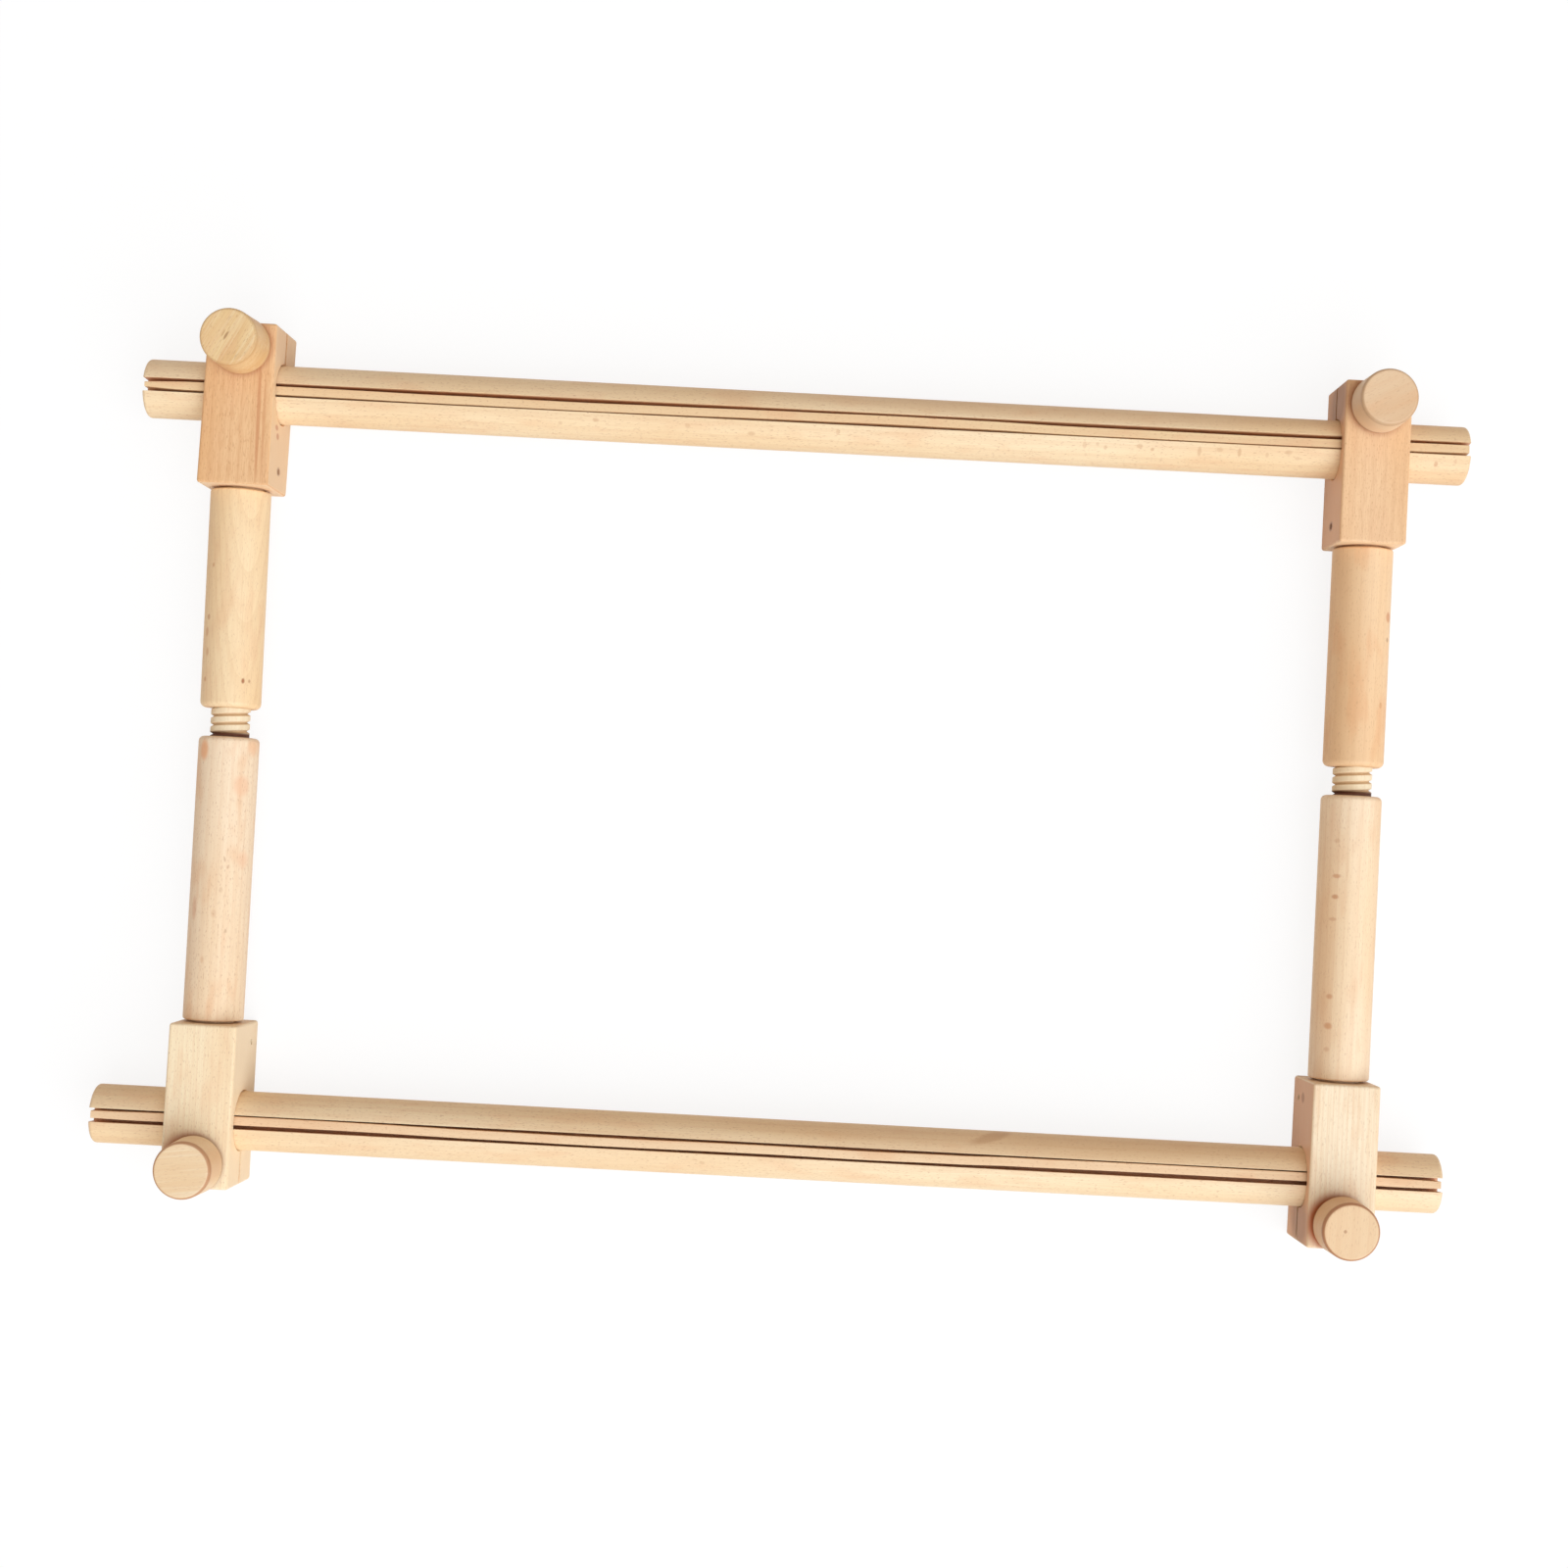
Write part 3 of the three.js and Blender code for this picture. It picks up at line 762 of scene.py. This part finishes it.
blockBlank = addBlock("blockBlank")
for name, spot in corners.items():
    node = name + "_block"
    block = copyOf(blockBlank, spot["title"] + "Block", cornerPlace(name))
    drillForPin(block, name)
    if name in blockSpare:
        spreadBlock(block, name)
    smooth(block)
    look = dict(blockWood[name])
    knob = middleOf(name + "_knob") / mm
    # each block gets a ring of painted shade round its knob's foot
    share, (shiftX, shiftY) = knobShadeRing[name.split("_")[0]]
    shadeRingPlace = (knob.x + shiftX, knob.y + shiftY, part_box(node)[1].z / mm)
    shadeRingMark = (shadeRingPlace, knobShadeRing["halfSizes"], share, knobShadeRing["tint"])
    look["marks"] = (*look.get("marks", ()), shadeRingMark)
    wood = beech("planedBeech" + spot["title"].title() + "Block", middleOf(node), 90, **look)
    finishPiece(block, name + "_corner", node, wood)
bpy.data.objects.remove(blockBlank)
print("blocks done")


# clamp knobs

knobShape = {
    "rim": 1.5 * mm, "foot": 0.7 * mm, "taper": 0.35 * mm, "bore": 3.3 * mm, "boreDepth": 12 * mm,
    # the two left knobs lean out a little: how far their faces stand off, in X and Y
    "lean": {"upper_left": (-2.0 * mm, 0.3 * mm), "lower_left": (-1.1 * mm, -0.4 * mm)},
}
# two bands of painted shade, each fading in and out by height: one from the knob's face, under its
# rounded rim, and one from its foot, a painted contact shadow
rimShadeBand = (-3.4 * mm, -1.5 * mm, -0.26 * mm, -0.02 * mm)
footShadowBand = (-1 * mm, -0.5 * mm, 0.7 * mm, 2.2 * mm)
# each knob's barrel tint paints the light and shade on its turned wall
knobWood = {
    "lower_left": {
        "grain": 8, "shift": 3.3, "pale": "F5DCB6", "warm": "F0D1A6", "streak": "FBEACD",
        "streakShare": 0.5, "fleckShare": 0.15, "ringShare": 0.1,
        "wallLightAndShade": (0.3, "F4D0A4"), "rimShadeLook": (0.75, "B4764C"), "footShadowLook": (0.6, "8C5838"),
    },
    "lower_right": {
        "grain": 88, "shift": 5.9, "pale": "F1D2A9", "warm": "ECC69A", "fleckShare": 0.18,
        "wallLightAndShade": (0.24, "C8946A"), "rimShadeLook": (0.8, "AC6C44"), "footShadowLook": (0.6, "8C5838"),
        "marks": (((252.2, -182.8, 55.6), (1.0, 1.0, 3), 0.6, "A8744F"),),
    },
    "upper_left": {
        "grain": 62, "shift": 8.4, "pale": "F4D8A4", "warm": "E6BE84", "toneSize": 12 * mm,
        "streak": "F9E6BE", "streakShare": 0.6, "fibreShare": 0.4,
        "wallLightAndShade": (0.3, "E4B076"), "rimShadeLook": (0.3, "B88A54"), "footShadowLook": (0.4, "A86C40"),
        "marks": (
            ((-257.6, 183.4, 55.6), (2.9, 0.7, 3), 0.7, "9C6A3E", 62),
            ((-258.9, 184.4, 55.6), (2.3, 0.6, 3), 0.45, "B98A58", 62),
        ),
    },
    "upper_right": {
        "grain": 28, "shift": 10.2, "pale": "EACBA6", "warm": "E2BE96", "fleckShare": 0.2,
        "toneSize": 14 * mm,
        "wallLightAndShade": (0.4, "F2D8B8"), "rimShadeLook": (0.4, "A87E58"), "footShadowLook": (0.6, "96603C"),
    },
}


def addKnob(name):
    shape = knobShape
    size = sizeOf("lower_left_knob")
    radius, tall = size.x / 2, size.z
    outline = [(0, shape["boreDepth"]), (shape["bore"], shape["boreDepth"]), (shape["bore"], 0)]
    outline += roundOff((radius - shape["foot"], shape["foot"]), shape["foot"], -90, 0, 4)
    top = radius - shape["taper"] - shape["rim"]
    outline += roundOff((top, tall - shape["rim"]), shape["rim"], 0, 90, 8)
    outline.append((0, tall))
    return turnPiece(name, outline)


# leans all of a knob but its bore, which stays upright round its screw
def leanKnob(knob, seat, leanX, leanY):
    tall = sizeOf("lower_left_knob").z
    for v in knob.data.vertices:
        off = v.co - seat
        if off.xy.length > 2 * knobShape["bore"]:
            v.co.x += leanX * off.z / tall
            v.co.y += leanY * off.z / tall


knobBlank = addKnob("knobBlank")
smooth(knobBlank)
for name, spot in corners.items():
    node = name + "_knob"
    middle = middleOf(node)
    foot, face = (corner.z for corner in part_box(node))
    seat = Vector((middle.x, middle.y, foot))
    knob = copyOf(knobBlank, spot["title"] + "Knob", placeAt(seat))
    if name in knobShape["lean"]:
        leanKnob(knob, seat, *knobShape["lean"][name])
    look = dict(knobWood[name])
    # painted shade under each knob's rim and a painted contact shadow at its foot
    look["shadeBands"] = (([face + height for height in rimShadeBand], *look.pop("rimShadeLook")),
                     ([foot + height for height in footShadowBand], *look.pop("footShadowLook")))
    wood = beech("turnedBeech" + spot["title"].title() + "Knob", middle, **look)
    finishPiece(knob, name + "_clamp_knob", node, wood)
bpy.data.objects.remove(knobBlank)
print("knobs done")


# clamp screws, nuts and washers

screwShape = {"pitch": 1 * mm, "threadDepth": 0.55 * mm, "crest": (0.44, 0.56), "tip": 0.6 * mm,
              "steps": 24}
nutShape = {"hole": 3.1 * mm, "mouth": 0.5 * mm, "corner": 0.5 * mm, "cornerDrop": 0.3 * mm}
washerShape = {"hole": 3.3 * mm, "edge": 0.2 * mm}


# a turned blank with both ends chamfered, to trim a thread or a hexagon with
def chamferedBlank(name, radius, chamfer, drop, half):
    return turnPiece(name, [
        (0, -half), (radius - chamfer, -half), (radius, drop - half),
        (radius, half - drop), (radius - chamfer, half), (0, half),
    ], steps=48)


def addScrew(name):
    shape = screwShape
    size = sizeOf("lower_left_clamp_screw")
    radius, half, pitch = size.x / 2, size.z / 2, shape["pitch"]
    core, (crestFrom, crestTo) = radius - shape["threadDepth"], shape["crest"]
    ridge = [(core, 0), (radius, pitch * crestFrom), (radius, pitch * crestTo), (core, pitch)]
    screw = threadPiece(name, ridge, pitch, -half - pitch, half + pitch, shape["steps"])
    trim = chamferedBlank("screwTrim", radius + 2 * tiny, shape["tip"], shape["tip"], half)
    carve(screw, trim, "INTERSECT")
    return screw


def addNut(name):
    shape = nutShape
    size = sizeOf("lower_left_clamp_nut")
    point, half = min(size.x, size.y) / math.sqrt(3), size.z / 2
    nut = addRod(name, point, size.z, (0, 0, 0), sides=6)
    trim = chamferedBlank("nutTrim", point + 2 * tiny, shape["corner"], shape["cornerDrop"], half)
    carve(nut, trim, "INTERSECT")
    hole, mouth = shape["hole"], shape["mouth"]
    wide = hole + mouth + overrun
    carve(nut, turnPiece("nutHoleCutter", [
        (0, -half - overrun), (wide, -half - overrun), (hole, mouth - half),
        (hole, half - mouth), (wide, half + overrun), (0, half + overrun),
    ], steps=48))
    return nut


def addWasher(name):
    hole, edge = washerShape["hole"], washerShape["edge"]
    size = sizeOf("lower_left_washer")
    rim, half = size.x / 2, size.z / 2
    outline = [(hole, -half), (rim - edge, -half)]
    outline += roundOff((rim - edge, half - edge), edge, 0, 90, 3)
    outline += [(hole + edge, half), (hole, half - edge), (hole, -half)]
    return turnPiece(name, outline, steps=64)


hardware = {
    "clamp_screw": (addScrew("screwBlank"), "Screw", "_clamp_knob"),
    "clamp_nut": (addNut("nutBlank"), "Nut", "_corner"),
    "washer": (addWasher("washerBlank"), "Washer", "_clamp_washer"),
}
for part, (blank, title, bodyEnd) in hardware.items():
    smooth(blank)
    for name, spot in corners.items():
        node = name + "_" + part
        piece = copyOf(blank, spot["title"] + title, placeAt(middleOf(node)))
        finishPiece(piece, name + bodyEnd, node, zincSteel)
    bpy.data.objects.remove(blank)
print("screws, nuts and washers done")


# pins

pinShape = {"rounding": 0.35 * mm}


def addPin(name):
    size = sizeOf("lower_left_pin")
    radius, half, soft = size.z / 2, size.x / 2, pinShape["rounding"]
    outline = [(0, -half)] + roundOff((radius - soft, -half + soft), soft, -90, 0, 3)
    outline += roundOff((radius - soft, half - soft), soft, 0, 90, 3) + [(0, half)]
    return turnPiece(name, outline, steps=24)


pinBlank = addPin("pinBlank")
smooth(pinBlank)
for name, spot in corners.items():
    node = name + "_pin"
    pin = copyOf(pinBlank, spot["title"] + "Pin", placeAt(middleOf(node), quarterTurn, "Y"))
    finishPiece(pin, name + "_corner", node, bradSteel)
bpy.data.objects.remove(pinBlank)
print("pins done")


# side bar sleeves

sleeveShape = {
    "tenon": 9 * mm, "tenonLength": 24 * mm, "tenonEdge": 1 * mm,
    "pinSetback": 9 * mm, "pinHole": 1.1 * mm, "grooveHalf": 1.1 * mm, "grooveDepth": 2.2 * mm,
    "shoulderGap": 0.7 * mm, "footEdge": 1.0 * mm,
    "mouthEdge": {"upper": 2.8 * mm, "lower": 2.3 * mm},
    "bore": 9.05 * mm, "boreEdge": 0.4 * mm, "mouthBore": {"upper": 9.3 * mm, "lower": 9.9 * mm},
    "mouthDepth": 7 * mm, "boreDepth": {"upper": 67 * mm, "lower": 45.3 * mm},
    # how far the outside, which starts at this radius, lies off the bore at shoulder and mouth
    "offBore": {"upper_left": (-1.2 * mm, -0.3 * mm)}, "outsideFrom": 11 * mm,
}
sleeveWood = {
    "lower_left": {
        "shift": 2.3, "pale": "FCE7CA", "warm": "F9DEBA", "pith": (22 * mm, 9 * mm),
        "blushShare": 0.5, "marks": (
            ((-263.2, 1.6, 27), (3.0, 6.5, 7), 0.6, "F09C58"),
            ((-241.6, 4, 26), (3.2, 7, 8), 0.45, "F2AC70"),
            ((-245.2, -13.9, 30), (5, 6.5, 8), 0.35, "F0A878"),
            ((-242.1, -47.2, 29), (5, 7, 8), 0.35, "F0A878"),
            ((-263.7, -69.6, 26), (1.8, 8, 6), 0.4, "D0885C"),
            ((-250.8, -47.2, 31.4), (0.6, 1.6, 4), 0.4, "B07A4C", 12),
            ((-249.2, -50.4, 31.4), (0.6, 1.4, 4), 0.35, "B07A4C", -10),
            ((-251.8, -60.9, 31.4), (1.1, 1.8, 4), 0.25, "C09060"),
            ((-254.3, -71.6, 31.2), (1.6, 2.6, 4), 0.25, "CC9464"),
            ((-248.8, -79.2, 31.4), (0.7, 1.4, 4), 0.4, "A87850"),
            ((-258.3, -92.5, 29.5), (1.3, 2.4, 4), 0.3, "D09460"),
        ),
    },
    "lower_right": {
        "shift": 5.1, "pale": "FFECD2", "warm": "FDE2BC", "pith": (-20 * mm, 12 * mm),
        "fleckShare": 0.22, "marks": (
            # painted shade along the sleeve's left side, away from the light
            ((240, -62, 31), (11, 90, 16), 0.35, "F2BE8A"),
            ((246.9, -12.7, 30), (1.7, 1.4, 5), 0.3, "C88C60"),
            ((247.2, -28.5, 30.3), (2.4, 1.3, 5), 0.55, "CC8658"),
            ((247, -37.8, 30.3), (1.9, 1.5, 5), 0.6, "C07848"),
            ((246.4, -47.9, 30.1), (2.3, 1.2, 5), 0.4, "CC8C60"),
            ((246.6, -82.5, 30.3), (1.9, 1.7, 5), 0.5, "CC8658"),
            ((246.4, -95.7, 30.2), (2.5, 2.2, 5), 0.6, "D08A58"),
            ((246.4, -106.2, 30.3), (1.7, 1.6, 5), 0.35, "CC8C60"),
        ),
    },
    "upper_left": {
        "shift": 7.9, "pale": "FCE2B8", "warm": "FAD8A8", "ring": "D9A876", "ringShare": 0.15,
        "ringLean": (-35, -6), "ringSpacing": 2.4 * mm, "waver": 1.8, "fleckShare": 0.2,
        "pith": (-13 * mm, 26 * mm), "marks": (
            ((-247.7, 33.3, 31), (0.9, 1.7, 6), 0.85, "A0582A"),
            ((-245.3, 33.4, 30.8), (0.85, 1.6, 6), 0.75, "A0582A"),
            ((-264, 85, 27), (0.9, 1.5, 5), 0.45, "C07844"),
            ((-265.1, 61.5, 27), (1, 1.8, 5), 0.5, "B87040"),
            ((-265.5, 54.9, 26), (1.1, 2.9, 5), 0.45, "C88050"),
            ((-264.8, 45.8, 26.5), (1, 2.8, 5), 0.4, "C88050"),
            ((-265.3, 33.4, 26), (0.9, 1.6, 5), 0.45, "C07844"),
        ),
    },
    "upper_right": {
        "shift": 9.6, "pale": "F8D6AC", "warm": "F2C898", "blush": "EAAC78", "blushShare": 0.4,
        "fleckShare": 0.22, "pith": (25 * mm, 11 * mm), "marks": (
            ((266, 89.1, 26.5), (1.9, 3.2, 6), 0.6, "C87C4E"),
            ((266, 78.9, 26.5), (0.9, 1.5, 5), 0.5, "9A6E50"),
            ((263.7, 49, 29), (0.9, 1.8, 5), 0.4, "C88A58"),
        ),
    },
}


# a sleeve about Z, its shoulder at the origin and its bored mouth at the top
def addSleeve(name, end):
    shape = sleeveShape
    size = sizeOf(end + "_left_sleeve")
    radius, length = size.x / 2, size.y - shape["tenonLength"]
    tenon, edge, setback = shape["tenon"], shape["tenonEdge"], shape["pinSetback"]
    outline = [(0, -shape["tenonLength"]), (tenon - edge, -shape["tenonLength"]),
               (tenon, edge - shape["tenonLength"])]
    if end == "lower":      # this tenon turns, so it has a groove for the pin
        floor, half = tenon - shape["grooveDepth"], shape["grooveHalf"]
        outline += [(tenon, -setback - half), (floor, -setback - half),
                    (floor, half - setback), (tenon, half - setback)]
    gap, foot, mouth = shape["shoulderGap"], shape["footEdge"], shape["mouthEdge"][end]
    outline.append((tenon, gap))
    outline += roundOff((radius - foot, gap + foot), foot, -90, 0, 5)
    outline += roundOff((radius - mouth, length - mouth), mouth, 0, 90, 9)
    bore, wide, edge = shape["bore"], shape["mouthBore"][end], shape["boreEdge"]
    mouthFloor, boreFloor = length - shape["mouthDepth"], length - shape["boreDepth"][end]
    outline += [(wide + edge, length), (wide, length - edge), (wide, mouthFloor),
                (bore, mouthFloor - (wide - bore)), (bore, boreFloor), (0, boreFloor)]
    sleeve = turnPiece(name, outline)
    if end == "upper":
        carve(sleeve, addRod("tenonPinCutter", shape["pinHole"], 3 * tenon, (0, 0, -setback), "X",
                             sides=24))
    return sleeve


# shifts the outside of a sleeve off its bore
def shiftOutside(sleeve, axis, length, atShoulder, atMouth):
    for v in sleeve.data.vertices:
        off = v.co - axis
        if math.hypot(off.x, off.z) > sleeveShape["outsideFrom"]:
            v.co.x += atShoulder + (atMouth - atShoulder) * abs(off.y) / length


for end, way in rollerEnds.items():
    sleeveBlank = addSleeve("sleeveBlank", end)
    smooth(sleeveBlank)
    for side in barSides:
        name = end + "_" + side
        node, title = name + "_sleeve", corners[name]["title"]
        length = sizeOf(node).y - sleeveShape["tenonLength"]      # from the shoulder to the mouth
        low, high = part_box(node)
        shoulder = Vector((middleOf(node).x, low.y + length if way > 0 else high.y - length, axisHeight))
        sleeve = copyOf(sleeveBlank, title + "Sleeve", placeAt(shoulder, way * quarterTurn, "X"))
        if name in sleeveShape["offBore"]:
            shiftOutside(sleeve, shoulder, length, *sleeveShape["offBore"][name])
        body = name + "_corner" if end == "upper" else side + "_adjuster"
        wood = beech("turnedBeech" + title.title() + "Sleeve", middleOf(node), 90, **sleeveWood[name])
        finishPiece(sleeve, body, node, wood)
    bpy.data.objects.remove(sleeveBlank)
print("sleeves done")


# threaded rods

rodShape = {
    "pitch": 4 * mm, "depth": 1.3 * mm, "runIn": 3 * mm, "lap": 2 * mm, "endEdge": 1.2 * mm,
    "hollowShare": 0.46, "hollowParts": 6, "hollowRoundness": 0.8, "steps": 72,
}
rodWood = {"pale": "FBEBCB", "warm": "F6E0BA", "ring": "E3C79C", "blushShare": 0.1,
           "roughness": (0.55, 0.7), "fleckShare": 0.15}
rodShifts = {"left": 3.7, "right": 4.7}
# painted shade in the thread's root: how deep it is full and gone, how strong, its colour
rootShade = ((rodShape["depth"], 0.25 * mm), 0.7, "C9A274")
# a dark ring of painted shade where the thread goes into its sleeve, in mm
mouthShadeRing = {"above": 0.9, "mark": ((20, 1.8, 20), 1.0, "5E2E14")}


# one pitch of the thread: a broad flat crest between two halves of a narrow hollow
def rodRidge(radius):
    shape = rodShape
    half = shape["hollowShare"] / 2
    ridge = []
    for i in range(shape["hollowParts"] + 1):
        share = i / shape["hollowParts"]
        depth = shape["depth"] * (0.5 + 0.5 * math.cos(math.pi * share)) ** shape["hollowRoundness"]
        ridge.append((radius - depth, shape["pitch"] * half * share))
    ridge.append((radius, shape["pitch"] / 2))
    return ridge + [(r, shape["pitch"] - height) for r, height in reversed(ridge[:-1])]


def addRodPiece(name):
    shape = rodShape
    low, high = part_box("left_threaded_rod")
    radius, tall = (high.x - low.x) / 2, high.y - low.y
    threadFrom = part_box("lower_left_sleeve")[1].y - low.y - shape["runIn"]
    rod = threadPiece(name, rodRidge(radius), shape["pitch"], threadFrom - shape["lap"],
                      tall + shape["pitch"], shape["steps"])
    edge, wide = shape["endEdge"], radius + mm
    carve(rod, turnPiece("rodTrim", [
        (0, -overrun), (wide, -overrun), (wide, tall - edge - mm), (radius - edge, tall), (0, tall),
    ]), "INTERSECT")
    carve(rod, turnPiece("rodShank", [
        (0, 0), (radius - edge, 0), (radius, edge), (radius, threadFrom), (0, threadFrom),
    ]), "UNION")
    return rod


rodBlank = addRodPiece("rodBlank")
smooth(rodBlank)
for side, shift in rodShifts.items():
    node = side + "_threaded_rod"
    foot = (middleOf(node).x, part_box(node)[0].y, axisHeight)
    rod = copyOf(rodBlank, side + "ThreadedRod", placeAt(foot, -quarterTurn, "X"))
    radius = sizeOf(node).x / 2
    hollow = ([radius - deep for deep in rootShade[0]], *rootShade[1:])
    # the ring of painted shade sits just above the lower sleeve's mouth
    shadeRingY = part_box("lower_" + side + "_sleeve")[1].y / mm + mouthShadeRing["above"]
    ring = ((foot[0] / mm, shadeRingY, axisHeight / mm), *mouthShadeRing["mark"])
    wood = beech("cutThreadBeech" + side.title() + "Rod", middleOf(node), 90, shift,
                 hollow=hollow, marks=(ring,), **rodWood)
    finishPiece(rod, side + "_adjuster", node, wood)
bpy.data.objects.remove(rodBlank)
print("threaded rods done")


# camera, floor and light

# taken from the photograph: focal length in pixels of a 1600 pixel picture, the camera's
# turn, and where the frame's middle lies in front of the camera
cameraView = {
    "focalPixels": 2348.108, "picturePixels": 1600, "sensor": 36.0,
    "turn": (-0.02334, -0.00406, -0.0524),
    "away": (2.25 * mm, -0.12 * mm, -1044.5906 * mm),
}
scene = bpy.context.scene
lens = bpy.data.cameras.new("photoCamera")
lens.sensor_width = cameraView["sensor"]
lens.lens = cameraView["focalPixels"] * cameraView["sensor"] / cameraView["picturePixels"]
camera = bpy.data.objects.new("photoCamera", lens)
scene.collection.objects.link(camera)
seen = (Matrix.Translation(cameraView["away"]) @ Euler(cameraView["turn"]).to_matrix().to_4x4()
        @ Matrix.Translation((0, 0, -axisHeight)))
camera.matrix_world = seen.inverted()
scene.camera = camera

# the floor's own glow is weaker near the frame than far away, and grows over the fade, in metres
floorLook = {"size": 30.0, "drop": 0.2 * mm, "tone": "DDD0C2", "seenTone": 0.16,
             "glow": (0.86, 1.0), "fade": (0.9, 2.4)}


# 1 for what the camera sees, straight or in gloss and glass, and 0 for what lights the scene
def seenByCamera(tree):
    path = addNode(tree, "LightPath")
    seen = path.outputs["Is Camera Ray"]
    for ray in ("Is Glossy Ray", "Is Transmission Ray"):
        links = {0: seen, 1: path.outputs[ray]}
        seen = addNode(tree, "Math", {"operation": "MAXIMUM"}, links).outputs[0]
    return seen


# white to the camera, with a soft shadow left on it, and a plain pale floor to the light
def paperWhite():
    material, tree = newMaterial("paperWhite")
    real = addNode(tree, "BsdfDiffuse", {"Color": colour(floorLook["tone"])})
    shown = addNode(tree, "BsdfDiffuse", {"Color": (floorLook["seenTone"],) * 3 + (1,)})
    place = addNode(tree, "TexCoord").outputs["Object"]
    away = addNode(tree, "VectorMath", {"operation": "LENGTH"}, {0: place}).outputs["Value"]
    (near, far), (start, stop) = floorLook["glow"], floorLook["fade"]
    settings = {"From Min": start, "From Max": stop, "To Min": near, "To Max": far}
    glowing = addNode(tree, "MapRange", settings, {"Value": away})
    glow = addNode(tree, "Emission", {"Color": (1, 1, 1, 1)}, {"Strength": glowing.outputs[0]})
    white = addNode(tree, "AddShader", links={0: shown.outputs[0], 1: glow.outputs[0]})
    links = {0: seenByCamera(tree), 1: real.outputs[0], 2: white.outputs[0]}
    mixed = addNode(tree, "MixShader", links=links)
    addNode(tree, "OutputMaterial", links={"Surface": mixed.outputs[0]})
    return material


clearPick()
floorPlace = (0, 0, cadBox[0].z - floorLook["drop"])
bpy.ops.mesh.primitive_plane_add(size=floorLook["size"], location=floorPlace)
floor = bpy.context.object
floor.name = floor.data.name = "studioFloor"
settle(floor)
floor.data.materials.append(paperWhite())

lightLook = {
    "skyTint": "FFF0E4", "skyStrength": 0.46,
    "keyTint": "EEF7FF", "keyPlace": (2.45, -2.9, 4.5), "keySize": 8.0, "keyPower": 388.0,
}
world = bpy.data.worlds.new("studioWorld")
scene.world = world
world.use_nodes = True
sky = world.node_tree
sky.nodes.clear()
lit = addNode(sky, "Background", {"Color": colour(lightLook["skyTint"]),
                                  "Strength": lightLook["skyStrength"]})
white = addNode(sky, "Background", {"Color": (1, 1, 1, 1), "Strength": 1.0})
links = {0: seenByCamera(sky), 1: lit.outputs[0], 2: white.outputs[0]}
mixed = addNode(sky, "MixShader", links=links)
addNode(sky, "OutputWorld", links={"Surface": mixed.outputs[0]})

key = bpy.data.lights.new("keyLight", "AREA")
key.shape = "DISK"
key.size = lightLook["keySize"]
key.color = colour(lightLook["keyTint"])[:3]
key.energy = lightLook["keyPower"]
keyLight = bpy.data.objects.new("keyLight", key)
scene.collection.objects.link(keyLight)
keyLight.location = lightLook["keyPlace"]
keyLight.rotation_euler = (-Vector(lightLook["keyPlace"])).to_track_quat("-Z", "Y").to_euler()

scene.view_settings.view_transform = "Standard"
print("camera, floor and light ready")
